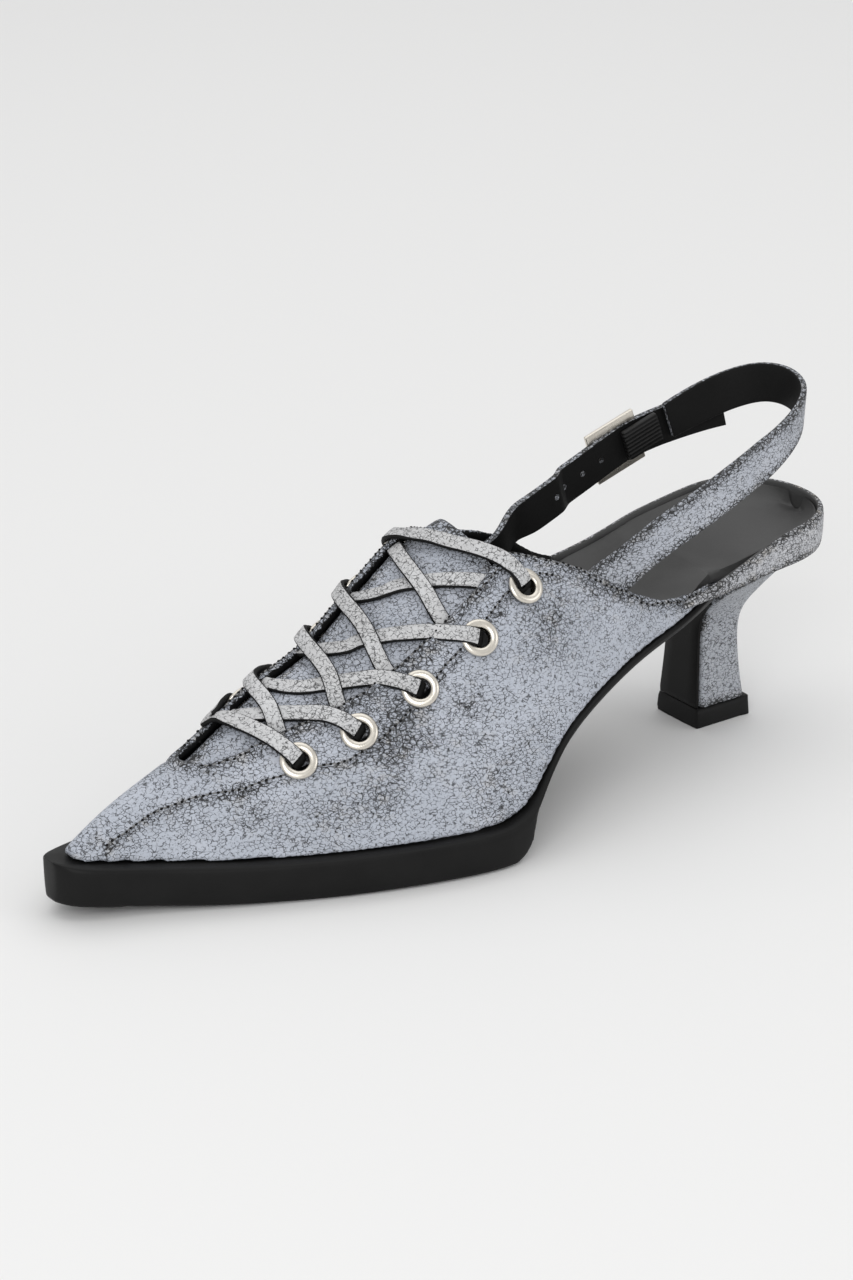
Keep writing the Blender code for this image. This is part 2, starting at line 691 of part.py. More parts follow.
def make_rim(leather, collection):
    """Rim: the covered edge that stands round the heel seat."""
    lateral, medial = place(LATERAL_END) - CLEAR, place(MEDIAL_END) - CLEAR
    outside = seat_walk(0.0, lateral, medial, 9)
    inside = seat_walk(RIM_WALL, lateral, medial, 9)
    rings = []
    for (x, y, side), (xi, yi, _) in zip(outside, inside):
        low, high = rim_seam(x), rim_height(x, side)
        high = max(high, low + 1.5 * MM)
        lean = 0.5 * MM
        inward = Vector((xi - x, yi - y, 0.0)).normalized()
        a, b = Vector((x, y, 0.0)) + inward * lean, Vector((xi, yi, 0.0))
        outer = a - inward * lean
        rings.append([a + Vector((0, 0, low)), outer + Vector((0, 0, low + 0.3 * (high - low))),
                      outer + Vector((0, 0, high - 0.8 * MM)), a + inward * 0.2 * MM + Vector((0, 0, high)),
                      b + Vector((0, 0, high - 0.1 * MM)), b + Vector((0, 0, low))])
    new_object("seat_rim", loft("seat_rim", rings), leather, collection)


def inside_upper(x, side):
    """Y of the edge of an insole that just clears the inside of the upper."""
    result = side * BALL_WIDTH
    for height in (0.0, 0.5 * SOCK, SOCK):
        turn = turn_at_z(x, side, foot_bed(x) + CLEAR + height)
        out = skin_normal(x, side, turn)
        inside = half_section(x, side, turn).y - side * (WALL / max(abs(out.y), 0.4) + CLEAR + 0.2 * MM)
        result = side * min(side * result, side * inside)
    return result


def insole_edge(x, side):
    """Y of the edge of the insole on one side, inside the upper and inside the rim."""
    end = place(LATERAL_END if side == LATERAL else MEDIAL_END)
    in_rim = side * (seat_half(x, side) - RIM_WALL - CLEAR)
    narrow_from, narrow_run = end - 2 * MM, 0.07 * LENGTH
    if x < narrow_from:
        ease = min(max((x - narrow_from + narrow_run) / narrow_run, 0.0), 1.0)
        narrow = side * min(side * inside_upper(narrow_from, side), side * in_rim)
        return in_rim + (narrow - in_rim) * ease * ease * (3 - 2 * ease)
    in_upper = inside_upper(x, side)
    blend = min(max((x - end) / (0.05 * LENGTH), 0.0), 1.0)
    narrow = side * min(side * in_upper, side * in_rim) if x < end + 0.05 * LENGTH else in_upper
    return narrow * (1 - blend) + in_upper * blend


def make_insole(sock, collection):
    """Insole: flat under the forefoot, and dished inside the rim at the seat."""
    tip = place(1.0) - TOE_INSET - 9 * MM
    rear = -SEAT_OVERHANG + RIM_WALL + CLEAR + 0.1 * MM
    runs = [(tip, place(0.86), 4), (place(0.86), place(0.55), 8), (place(0.55), place(0.40), 6),
            (place(0.40), place(BREAST), 10), (place(BREAST), place(0.06), 6)]
    stations = [x for run in runs for x in spread(*run)]
    stations += [rear + (place(0.06) - rear) * (1 - math.sin(k * math.pi / 14)) for k in range(7)]
    stations += [place(end) - step for end in (LATERAL_END, MEDIAL_END) for step in (1 * MM, 3 * MM)]
    stations.sort(reverse=True)
    stations.append(rear + 0.25 * MM)
    across = (-1.0, -0.86, -0.55, 0.0, 0.55, 0.86, 1.0)
    rings = []
    for x in stations:
        left, right = insole_edge(x, LATERAL), insole_edge(x, MEDIAL)
        if x < place(0.094):
            joint, reach = place(0.094), place(0.094) - rear
            roundness = max(1 - ((joint - x) / reach) ** 2.15, 0.0)
            half = (SEAT_WIDTH / 2 - RIM_WALL - CLEAR) * math.sqrt(roundness)
            left, right = half, -half
        base = foot_bed(x) + CLEAR
        if place(BREAST) - 3 * MM < x < place(BREAST) + 3 * MM:
            base += 0.3 * MM
        seat = min(max((place(0.40) - x) / (place(0.40) - place(0.12)), 0.0), 1.0)
        thick = SOCK + (SOCK_SEAT - SOCK) * seat
        ring = []
        for v in across:
            side = LATERAL if v >= 0 else MEDIAL
            y = 0.5 * (left + right) + 0.5 * (left - right) * v
            end = place(LATERAL_END if side == LATERAL else MEDIAL_END)
            fade = min(max((end + 0.06 * LENGTH - x) / (0.08 * LENGTH), 0.0), 1.0)
            target = rim_height(min(x, end), side) - 1.4 * MM
            dish = max(target - (base + thick), 0.0) * fade * abs(v) ** 3.2
            ring.append(Vector((x, y, base + thick + dish)))
        ring += [Vector((x, p.y, base)) for p in ring[::-1]]
        rings.append(ring)
    new_object("insole", loft("insole", rings), sock, collection)


def heel_ring(up, front, back, half, roundness, slope):
    """One section of the heel: straight at the breast and rounded at the rear."""
    top = BREAST_HEIGHT + BREAST_SOLE
    z = TOP_PIECE + CLEAR + up * (top - TOP_PIECE - CLEAR)
    depth = front - back
    power = 2.0 + 6.0 * (1.0 - roundness) ** 2
    straight = front - max(depth * (1.0 - roundness) * 0.55, 1.5 * MM)
    ring = []
    for k in range(17):
        angle = math.pi * k / 16
        c, s = math.cos(angle), math.sin(angle)
        y = half * math.copysign(abs(c) ** (2 / power), c)
        x = straight - (straight - back) * abs(s) ** (2 / power)
        ring.append((x, y))
    points = [(front, half - 0.6 * MM)] + [(front - 0.6 * MM, half)] + ring + [(front - 0.6 * MM, -half)]
    points += [(front, -half + 0.6 * MM)]
    out = []
    for x, y in points:
        lift = seat_level(x) - (BREAST_HEIGHT + BREAST_SOLE)
        out.append(Vector((x, y, z + slope * lift)))
    return out


def heel_rows():
    """Rows of the heel: share of the height, front, back, half width, roundness and slope."""
    seat_front, seat_back = place(BREAST) - CLEAR, RIM_TUCK - SEAT_OVERHANG
    seat_side = SEAT_WIDTH / 2 - RIM_TUCK
    rows = []
    for k, up in enumerate(HEEL["up"]):
        front, back = HEEL["breast"][k] * TIP_LENGTH, HEEL["rear"][k] * TIP_LENGTH
        half = HEEL["width"][k] * TIP_WIDTH / 2
        front += (seat_front - front) * HEEL["front_flare"][k]
        back += (seat_back - back) * HEEL["back_flare"][k]
        half += (seat_side - half) * HEEL["side_flare"][k]
        rows.append((up, front, back, half, HEEL["round"][k], HEEL["slope"][k]))
    return rows


def make_heel(leather, rubber, collection):
    """Heel: a covered flared spool, a rubber top piece, and the sole's flap down its breast."""
    rings = [heel_ring(*row) for row in heel_rows()]
    new_object("heel", loft("heel", rings), leather, collection)
    low = []
    for z, grow in ((0.0, 1.0), (TOP_PIECE, 0.965)):
        front, back = 0.5 * TIP_LENGTH * grow, -0.5 * TIP_LENGTH * grow
        half, rear_half = TIP_WIDTH / 2 * grow, TIP_WIDTH / 2 * grow * 0.96
        corner = 1.0 * MM
        low.append([Vector(p + (z,)) for p in (
            (front + FLAP, half - 0.4 * MM), (front + FLAP - 0.4 * MM, half), (back + corner, rear_half),
            (back + 0.45 * corner, rear_half - 0.25 * corner), (back, rear_half - corner),
            (back, -rear_half + corner), (back + 0.45 * corner, -rear_half + 0.25 * corner),
            (back + corner, -rear_half), (front + FLAP - 0.4 * MM, -half), (front + FLAP, -half + 0.4 * MM))])
    new_object("top_piece", loft("top_piece", low), rubber, collection)
    rings = []
    for up in HEEL["up"]:
        top = BREAST_HEIGHT - 0.6 * MM
        z = TOP_PIECE + CLEAR + up * (top - TOP_PIECE - CLEAR)
        wide = np.interp(z, *breast_line(3)) - 0.3 * MM
        x = np.interp(z, *breast_line(1)) + CLEAR
        rings.append([Vector((x, wide, z)), Vector((x + FLAP, wide - 0.4 * MM, z)),
                      Vector((x + FLAP, -wide + 0.4 * MM, z)), Vector((x, -wide, z))])
    new_object("breast_flap", loft("breast_flap", rings), rubber, collection)


def breast_line(entry):
    """Heights of the heel's rows and one entry of each, for pieces that lie on the breast."""
    top = BREAST_HEIGHT + BREAST_SOLE
    heights = [TOP_PIECE + CLEAR + row[0] * (top - TOP_PIECE - CLEAR) for row in heel_rows()]
    return heights, [row[entry] for row in heel_rows()]


def through(points, count):
    """Even points on a smooth curve through a route."""
    pts = [Vector(p) for p in points]
    pts = [2 * pts[0] - pts[1]] + pts + [2 * pts[-1] - pts[-2]]
    fine = []
    for k in range(1, len(pts) - 2):
        for m in range(12):
            t = m / 12
            a, b, c, d = pts[k - 1], pts[k], pts[k + 1], pts[k + 2]
            fine.append(0.5 * ((2 * b) + (c - a) * t + (2 * a - 5 * b + 4 * c - d) * t * t
                               + (3 * b - a - 3 * c + d) * t ** 3))
    fine.append(pts[-2])
    length = [0.0]
    for a, b in zip(fine, fine[1:]):
        length.append(length[-1] + (b - a).length)
    out = []
    for k in range(count):
        want = length[-1] * k / (count - 1)
        i = min(max(int(np.searchsorted(length, want)) - 1, 0), len(fine) - 2)
        t = (want - length[i]) / max(length[i + 1] - length[i], 1e-9)
        out.append(fine[i].lerp(fine[i + 1], min(t, 1.0)))
    return out


def ribbon_rings(points, outs, width, thick, rounding=0.3):
    """Sections of a flat band along points, facing the given directions."""
    w, h, r = width / 2, thick / 2, rounding * thick
    corners = ((w, -h + r), (w, h - r), (w - r, h), (-w + r, h), (-w, h - r), (-w, -h + r),
               (-w + r, -h), (w - r, -h))
    if not rounding:
        corners = ((w, -h), (w, h), (-w, h), (-w, -h))
    rings = []
    for k, point in enumerate(points):
        along = (points[min(k + 1, len(points) - 1)] - points[max(k - 1, 0)]).normalized()
        out = (outs[k] - along * outs[k].dot(along)).normalized()
        wide = along.cross(out).normalized()
        rings.append([point + wide * a + out * b for a, b in corners])
    return rings


def keep_inside(rings, side):
    """Moves the sections of a strap inwards wherever they would touch the wall of the upper."""
    end = place(LATERAL_END if side == LATERAL else MEDIAL_END)
    need = []
    for ring in rings:
        worst = 0.0
        for p in ring:
            if p.x < end or side * p.y < 0.0:
                continue
            top = half_section(p.x, side, edge_turn(p.x, side)).z
            if p.z > top + CLEAR:
                continue
            turn = turn_at_z(p.x, side, min(p.z, top))
            out = skin_normal(p.x, side, turn)
            inside = (p - half_section(p.x, side, turn)).dot(out) + WALL + CLEAR + 0.3 * MM
            worst = max(worst, inside / max(abs(out.y), 0.5))
        need.append(worst)
    ease = 0.35 * MM
    for k, ring in enumerate(rings):
        push = max(0.0, max(n - ease * abs(m - k) for m, n in enumerate(need)))
        for p in ring:
            p.y -= side * push


def route(table):
    """Points of a strap's table."""
    return [Vector((place(s), a * SEAT_WIDTH, u * STRAP_HEIGHT))
            for s, a, u in zip(table["along"], table["across"], table["up"])]


def strap_out(point):
    """Direction away from the heel of the foot, level with the floor."""
    middle = Vector((place(0.135), 0.0, point.z))
    away = point - middle
    if point.x > middle.x:
        return Vector((0.12 * (1 if away.x > 0 else 0), math.copysign(1.0, point.y), 0.0)).normalized()
    return Vector((away.x, away.y, 0.0)).normalized()


def anchor(x, side, drop):
    """Point inside the upper, below its topline, where a strap is sewn."""
    edge = half_section(x, side, edge_turn(x, side)).z
    turn = turn_at_z(x, side, edge - drop)
    depth = WALL + CLEAR + 0.1 * MM + STRAP_THICK / 2
    return half_section(x, side, turn) - skin_normal(x, side, turn) * depth


def lean_in(points, outs, side):
    """Turns the start of a strap to lie along the wall of the upper it is sewn to."""
    end = place(LATERAL_END if side == LATERAL else MEDIAL_END)
    for k in range(12):
        p = points[k]
        if p.x < end:
            break
        edge = edge_turn(p.x, side)
        top = half_section(p.x, side, edge).z
        wall = skin_normal(p.x, side, turn_at_z(p.x, side, min(p.z, top)))
        free = min(max((p.z - top) / STRAP_WIDTH, 0.0), 1.0)
        outs[k] = wall.lerp(outs[k], free).normalized()


def make_straps(leather, elastic, metal, collection, cutters):
    """Sling strap round the back, front strap with holes, elastic and buckle on the inner side."""
    sling = [anchor(place(0.388), LATERAL, 11 * MM), anchor(place(0.362), LATERAL, 4.0 * MM)] + route(SLING)
    points = through(sling, 56)
    outs = [strap_out(p) for p in points]
    lean_in(points, outs, LATERAL)
    rings = ribbon_rings(points[:51], outs[:51], STRAP_WIDTH, STRAP_THICK, 0.0)
    keep_inside(rings[:20], LATERAL)
    new_object("sling_strap", loft("sling_strap", rings), leather, collection)
    points[51] = points[51] + (points[52] - points[51]).normalized() * 0.5 * CLEAR
    points[50] = points[51]
    rings = ribbon_rings(points[51:], outs[51:], STRAP_WIDTH - 2 * MM, STRAP_THICK, 0.0)
    new_object("elastic", loft("elastic", rings), elastic, collection)
    rooted = [anchor(place(0.415), MEDIAL, 9 * MM), anchor(place(0.392), MEDIAL, 3.0 * MM)]
    front = rooted + route(FRONT_STRAP)
    apart = STRAP_THICK + CLEAR + 0.1 * MM
    for k, droop in ((55, 0.0), (52, 0.9), (49, 2.4), (46, 4.0), (44, 5.0)):
        front.append(points[k] + outs[k] * apart - Vector((0.0, 0.0, droop * MM)))
    front_points = through(front, 40)
    front_outs = [strap_out(p) for p in front_points]
    lean_in(front_points, front_outs, MEDIAL)
    rings = ribbon_rings(front_points, front_outs, STRAP_WIDTH, STRAP_THICK * 0.9, 0.0)
    keep_inside(rings[:16], MEDIAL)
    strap = new_object("front_strap", loft("front_strap", rings), leather, collection)
    end = points[-1]
    nearest = min(range(len(front_points)), key=lambda k: (front_points[k] - end).length)
    run = (front_points[nearest] - front_points[nearest - 1]).length
    for number in range(4):
        k = nearest - int(round((number + 1.2) * HOLE_PITCH / run))
        hole = bpy.data.meshes.new("strap_hole")
        work = bmesh.new()
        bmesh.ops.create_cone(work, cap_ends=True, segments=12, radius1=HOLE_SIZE / 2, radius2=HOLE_SIZE / 2,
                              depth=8 * MM, matrix=facing(front_points[k], front_outs[k]))
        work.to_mesh(hole)
        work.free()
        cutter = bpy.data.objects.new("strap_hole_%d" % (number + 1), hole)
        cutters.objects.link(cutter)
        cut(strap, cutter)
    make_buckle(points, front_points[nearest], metal, collection)


def make_buckle(points, strap_middle, metal, collection):
    """Buckle: a bowed frame with a bar in its middle, and its prong lying on the strap."""
    along = (points[-1] - points[-4]).normalized()
    out = strap_out(points[-1])
    out = (out - along * out.dot(along)).normalized()
    wide = along.cross(out).normalized()
    middle = points[-1] + along * 2.2 * MM
    half_long, half_wide = BUCKLE_LENGTH / 2, STRAP_WIDTH / 2 + 0.7 * MM + BUCKLE_WIRE / 2
    strap_top = (strap_middle - points[-1]).dot(out) + STRAP_THICK * 0.45
    end_lift = strap_top + BUCKLE_WIRE / 2 + 0.5 * MM
    side_lift = 0.2 * MM
    corner = 2.2 * MM
    loop = []
    for sx, sy in ((1, 1), (-1, 1), (-1, -1), (1, -1)):
        steps = [(half_long, half_wide - corner), (half_long - 0.3 * corner, half_wide - 0.3 * corner),
                 (half_long - corner, half_wide), (half_long * 0.3, half_wide)]
        if sx * sy < 0:
            steps = steps[::-1]
        for a, w in steps:
            lift = side_lift + (end_lift - side_lift) * min((a / half_long) ** 1.4, 1.0)
            loop.append(middle + along * (a * sx) + wide * (w * sy) + out * lift)
    frame = tube("buckle_frame", loop, BUCKLE_WIRE / 2, True)
    bar = tube("buckle_bar", [middle + wide * w for w in (-half_wide, 0.0, half_wide)], 0.9 * MM, False)
    work = bmesh.new()
    work.from_mesh(frame)
    work.to_mesh(frame)
    work.free()
    piece = new_object("buckle_frame", frame, metal, collection)
    arm = new_object("buckle_bar", bar, metal, collection)
    join = piece.modifiers.new("bar", "BOOLEAN")
    join.operation = "UNION"
    join.solver = "EXACT"
    join.object = arm
    evaluated = piece.evaluated_get(bpy.context.evaluated_depsgraph_get())
    joined = bpy.data.meshes.new_from_object(evaluated)
    piece.modifiers.clear()
    piece.data = joined
    bpy.data.objects.remove(arm)
    prong_lift = strap_top + 0.4 * MM + 0.8 * MM
    prong = [middle + out * prong_lift, middle + along * (0.5 * half_long) + out * (prong_lift + 0.3 * MM),
             middle + along * (half_long - 1.6 * MM) + out * (end_lift + BUCKLE_WIRE / 2 + 0.9 * MM),
             middle + along * (half_long + 1.2 * MM) + out * (end_lift + BUCKLE_WIRE / 2 + 1.1 * MM)]
    new_object("buckle_prong", tube("buckle_prong", prong, 0.75 * MM, False), metal, collection)


def tube(name, points, radius, closed):
    """A round bar along points, as a mesh with welded ends."""
    curve = bpy.data.curves.new(name, "CURVE")
    curve.dimensions = "3D"
    curve.bevel_depth = radius
    curve.bevel_resolution = 2
    curve.use_fill_caps = True
    line = curve.splines.new("POLY")
    line.points.add(len(points) - 1)
    for spot, point in zip(line.points, points):
        spot.co = (point.x, point.y, point.z, 1.0)
    line.use_cyclic_u = closed
    holder = bpy.data.objects.new(name + "_path", curve)
    bpy.context.scene.collection.objects.link(holder)
    bpy.context.view_layer.update()
    mesh = bpy.data.meshes.new_from_object(holder.evaluated_get(bpy.context.evaluated_depsgraph_get()))
    work = bmesh.new()
    work.from_mesh(mesh)
    bmesh.ops.remove_doubles(work, verts=work.verts, dist=0.00001)
    bmesh.ops.recalc_face_normals(work, faces=work.faces)
    work.to_mesh(mesh)
    work.free()
    bpy.data.objects.remove(holder)
    bpy.data.curves.remove(curve)
    mesh.name = name
    return mesh


def lace_level(side, number, lift):
    """Point above an eyelet, and the direction the lace faces there."""
    middle, out = eyelet_seat(side, number)
    return middle + out * lift, out


def over_lace(x_lateral, x_medial, across, lift):
    """Point above the bridge between the facings, and the direction the lace faces there."""
    spot, out = over_throat(x_lateral, x_medial, across)
    return spot + out * lift, out


def on_facing(side, number, lift):
    """Point above the leather between an eyelet and the edge of its facing, and its direction."""
    x = place(EYELET_ROW[side]["along"][number])
    edge = throat_turn(max(x, corner_x(side)), side)
    turn = tucked(x, side, edge, 1.5 * MM)
    out = skin_normal(x, side, turn)
    return half_section(x, side, turn) + out * (SEAM_STEP + lift), out


def lace_strands():
    """Routes of the visible lengths of lace: two straight bars and four crossed pairs."""
    over = EYELET_LIFT + EYELET_FLANGE + CLEAR + LACE_THICK / 2 + 0.3 * MM
    near = over - 0.5 * MM
    low = CLEAR + LACE_THICK / 2 + 0.2 * MM
    lap = LACE_THICK * 0.8
    xs = {side: [place(a) for a in EYELET_ROW[side]["along"]] for side in (LATERAL, MEDIAL)}
    strands = []
    for number in (0, EYELETS - 1):
        ends = xs[LATERAL][number], xs[MEDIAL][number]
        strands.append([lace_level(LATERAL, number, over), on_facing(LATERAL, number, near)]
                       + [over_lace(*ends, v, low + lap + v * MM) for v in (0.2, 0.5, 0.8)]
                       + [on_facing(MEDIAL, number, near), lace_level(MEDIAL, number, over)])
    for number in range(EYELETS - 1):
        for side, rise in ((MEDIAL, low + lap), (LATERAL, low)):
            top_x, end_x = xs[side][number + 1], xs[-side][number]
            ends = (top_x, end_x) if side == LATERAL else (end_x, top_x)
            across = (0.20, 0.5, 0.86) if side == LATERAL else (0.80, 0.5, 0.10)
            strands.append([lace_level(side, number + 1, over), on_facing(side, number + 1, near),
                            over_lace(*ends, across[0], low + lap + across[0] * MM),
                            over_lace(*ends, across[1], rise),
                            over_lace(*ends, across[2], low + 0.6 * lap + (across[2] > 0.5) * 0.7 * MM)])
    return strands


def blended(point, route):
    """Direction at a point, from the directions of the route near it."""
    out = Vector((0.0, 0.0, 0.0))
    for spot, direction in route:
        out += direction / max((point - spot).length_squared, MM * MM)
    return out.normalized()


def make_lace(leather, collection):
    """Lace: the bars and crossings over the throat, joined where they touch."""
    pieces = []
    for k, route in enumerate(lace_strands()):
        line = through([spot for spot, direction in route], 10)
        outs = [blended(p, route) for p in line]
        mesh = loft("strand", ribbon_rings(line, outs, LACE_WIDTH, LACE_THICK, 0.0))
        pieces.append(new_object("strand_%d" % k, mesh, leather, collection))
    first = pieces[0]
    for other in pieces[1:]:
        join = first.modifiers.new(other.name, "BOOLEAN")
        join.operation = "UNION"
        join.solver = "EXACT"
        join.object = other
    bpy.context.view_layer.update()
    joined = bpy.data.meshes.new_from_object(first.evaluated_get(bpy.context.evaluated_depsgraph_get()))
    first.modifiers.clear()
    first.data = joined
    first.name = "lace"
    for other in pieces[1:]:
        bpy.data.objects.remove(other)


def material(name, colour, roughness, metallic=0.0):
    """One Principled finish."""
    made = bpy.data.materials.new(name)
    made.use_nodes = True
    made.diffuse_color = colour + (1.0,)
    shader = made.node_tree.nodes["Principled BSDF"]
    shader.inputs["Base Color"].default_value = colour + (1.0,)
    shader.inputs["Roughness"].default_value = roughness
    shader.inputs["Metallic"].default_value = metallic
    return made


def main():
    """Clears the scene and builds the shoe."""
    for old in list(bpy.data.objects):
        bpy.data.objects.remove(old)
    parts = bpy.data.collections.new("lace_up_heel")
    cutters = bpy.data.collections.new("cutters")
    bpy.context.scene.collection.children.link(parts)
    bpy.context.scene.collection.children.link(cutters)
    leather = material("cracked_leather", (0.36, 0.39, 0.45), 0.55)
    lining = material("sock_leather", (0.035, 0.036, 0.038), 0.45)
    rubber = material("sole_rubber", (0.02, 0.021, 0.022), 0.5)
    elastic = material("elastic", (0.015, 0.015, 0.016), 0.8)
    nickel = material("nickel", (0.62, 0.59, 0.54), 0.25, 1.0)
    make_outsole(rubber, parts)
    make_upper(leather, parts, cutters)
    make_tongue(leather, parts)
    make_insole(lining, parts)
    make_rim(leather, parts)
    make_heel(leather, rubber, parts)
    make_straps(leather, elastic, nickel, parts, cutters)
    make_eyelets(nickel, parts)
    make_lace(leather, parts)


main()
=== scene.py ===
import math

import bmesh
import bpy
import numpy as np
from mathutils import Matrix, Vector
from mathutils.bvhtree import BVHTree
from mathutils.kdtree import KDTree


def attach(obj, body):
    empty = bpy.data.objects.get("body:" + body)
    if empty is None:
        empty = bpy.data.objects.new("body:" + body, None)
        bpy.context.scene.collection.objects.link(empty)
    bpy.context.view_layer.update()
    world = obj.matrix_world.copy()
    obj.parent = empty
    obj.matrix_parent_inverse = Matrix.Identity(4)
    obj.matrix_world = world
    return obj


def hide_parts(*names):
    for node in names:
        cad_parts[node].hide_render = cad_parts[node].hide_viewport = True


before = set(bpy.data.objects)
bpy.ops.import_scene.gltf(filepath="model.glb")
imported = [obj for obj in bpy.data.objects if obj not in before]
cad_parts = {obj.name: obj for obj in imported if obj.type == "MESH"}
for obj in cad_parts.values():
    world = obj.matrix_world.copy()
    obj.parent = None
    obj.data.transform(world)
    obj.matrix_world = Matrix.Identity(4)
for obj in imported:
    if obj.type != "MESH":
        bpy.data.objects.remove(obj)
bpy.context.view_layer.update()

MM = 0.001

# Lace: its section, how far it passes above or below a facing's edge, and the step between its rings.
LACE_WIDTH = 4.8 * MM
LACE_THICK = 1.45 * MM
EDGE_RISE = 1.6 * MM
EDGE_DROP = 1.7 * MM
LACE_STEP = 0.8 * MM
# Below an eyelet, where a strand that comes from below its facing ends.
END_DEPTH = 3.6 * MM
# Course of a strand that goes into an eyelet from above: millimetres towards the strand and out of the
# leather, then the shares of these two directions in the way the strand faces.
INTO_EYELET = ((3.7, 1.5, 0.0, 1.0), (1.5, 0.9, 0.5, 1.0), (-0.4, -1.3, 1.0, 0.5), (-0.6, -3.8, 1.0, 0.0))

# Stitches: thread, the black grains of painted shade that stand in for the needle holes, and how far each
# row lies from its line.
STITCH_PITCH = 2.0 * MM
STITCH_LENGTH = 1.35 * MM
STITCH_RADIUS = 0.24 * MM
NEEDLE_SHADE_LENGTH = 1.0 * MM
NEEDLE_SHADE_RADIUS = 0.42 * MM
FACING_INSET = 3.4 * MM
TOPLINE_INSET = 3.0 * MM
SEAM_INSET = 1.2 * MM

# Upper: size of the remesh, the rolled edge and the grooves below the stitches.
VOXEL = 0.75 * MM
ROLL_HEIGHT = 0.35 * MM
ROLL_INSET = 1.2 * MM
ROLL_REACH = 1.3 * MM
GROOVE_DEPTH = 0.45 * MM
GROOVE_REACH = 0.7 * MM
SEAM_DEPTH = 0.25 * MM
SEAM_REACH = 0.8 * MM
BACK_OF_THROAT = 92.0 * MM
LONGEST_SPAN = 90.0 * MM

# Seat rim: how its outer front end is drawn out over the upper.
SEAT_MIDDLE = 33.0 * MM
RIM_REACH = 17.0 * MM
RIM_OUT = 3.6 * MM
RIM_RISE = 1.0 * MM
RIM_TAPER = 0.45
RIM_WORN = 0.75

# Tongue: where and how far its top end is drawn out.
TONGUE_FROM = 108.0 * MM
TONGUE_OVER = 14.0 * MM
TONGUE_NEAR = 18.0 * MM
TONGUE_PULL = 5.0 * MM
TONGUE_LIFT = 2.5 * MM

# Straps, elastic, buckle and eyelets.
STRAP_BEVEL = 0.55 * MM
STRAP_EDGE = math.radians(50)
RIB_PITCH = 1.3 * MM
BUCKLE_LENGTH = 17.5 * MM
BUCKLE_BAR = 2.8 * MM
BUCKLE_THICK = 1.3 * MM
BUCKLE_POST = 1.6 * MM
BUCKLE_BEVEL = 0.35 * MM
EYELETS_PER_SIDE = 5
EYELET_OUTER = 10.6 * MM
EYELET_HOLE = 5.6 * MM
EYELET_FLATNESS = 0.62
EYELET_SINK = 1.0 * MM
BARREL_WALL = 0.4 * MM
BARREL_LENGTH = 3.0 * MM
BARREL_DROP = 1.2 * MM

# Below these shares of "looks outwards", a face belongs to the inside of its piece.
UPPER_INSIDE = -0.15
STRAP_INSIDE = -0.45
RIM_INSIDE = -0.2

# Edges of the two facings from the throat to the topline, in millimetres.
FACING = {
    "outer": ((187, 1, 33), (185, 5, 32), (182, 7, 32), (177, 9, 34), (170, 11, 35), (160, 13, 39),
              (150, 15, 42), (137, 18, 47), (124, 20, 55), (113, 21, 62), (102, 21, 69), (97, 20, 73),
              (89, 17, 77)),
    "inner": ((187, 0, 33), (185, -2, 33), (182, -2, 34), (177, -3, 37), (170, -4, 40), (160, -5, 46),
              (150, -7, 49), (137, -9, 54), (124, -11, 63), (113, -12, 71), (102, -12, 78)),
}
# Topline behind each facing.
TOPLINE = {
    "outer": ((89, 17, 77), (82, 19, 75), (74, 21, 72), (67, 22, 69), (60, 24, 65), (52, 25, 60),
              (45, 26, 56), (38, 25, 53), (30, 24, 52), (23, 22, 52), (16, 20, 52)),
    "inner": ((102, -12, 78), (96, -15, 75), (90, -17, 73), (84, -18, 72), (78, -19, 70), (72, -20, 68),
              (66, -20, 66), (60, -21, 63), (54, -23, 59), (48, -24, 54), (42, -24, 53)),
}
# Long lapped seam on each side.
SEAM = {
    "outer": ((215, 11, 18), (210, 11, 20), (205, 11, 22), (199, 11, 24), (193, 12, 25), (185, 14, 26),
              (177, 17, 26), (169, 19, 28), (158, 23, 30), (148, 27, 31), (137, 28, 36), (126, 28, 43),
              (116, 28, 52), (105, 28, 60), (94, 25, 67), (84, 23, 70), (76, 24, 68)),
    "inner": ((215, -1, 18), (210, -2, 20), (205, -2, 22), (199, -4, 24), (193, -5, 25), (185, -8, 26),
              (177, -10, 26), (169, -12, 28), (158, -15, 30), (148, -17, 31), (137, -18, 36),
              (126, -20, 43), (116, -20, 52), (105, -21, 60), (94, -20, 67), (84, -21, 67), (76, -21, 65)),
}


class Value:
    """A shader socket that takes part in Python expressions."""

    def __init__(self, tree, socket):
        self.tree, self.socket = tree, socket

    def maths(self, operation, *others):
        return node(self.tree, "ShaderNodeMath", {"operation": operation}, (self,) + others)

    def __add__(self, other):
        return self.maths("ADD", other)

    def __sub__(self, other):
        return self.maths("SUBTRACT", other)

    def __mul__(self, other):
        return self.maths("MULTIPLY", other)

    def __radd__(self, other):
        return node(self.tree, "ShaderNodeMath", {"operation": "ADD"}, (other, self))

    def most(self, other):
        return self.maths("MAXIMUM", other)

    def least(self, other):
        return self.maths("MINIMUM", other)

    def step(self, low, high):
        """0 below low and 1 above high, smooth between them; the other way round if low is the larger."""
        down = low > high
        return node(self.tree, "ShaderNodeMapRange", {"interpolation_type": "SMOOTHSTEP", "clamp": True},
                    (self, min(low, high), max(low, high), 1.0 if down else 0.0, 0.0 if down else 1.0))


def node(tree, kind, settings, inputs, output=0):
    """Adds a shader node with its settings and inputs, and returns one of its outputs."""
    made = tree.nodes.new(kind)
    for key, value in settings.items():
        setattr(made, key, value)
    named = inputs.items() if isinstance(inputs, dict) else enumerate(inputs)
    for key, value in named:
        if isinstance(value, Value):
            tree.links.new(value.socket, made.inputs[key])
        else:
            made.inputs[key].default_value = value
    return Value(tree, made.outputs[output])


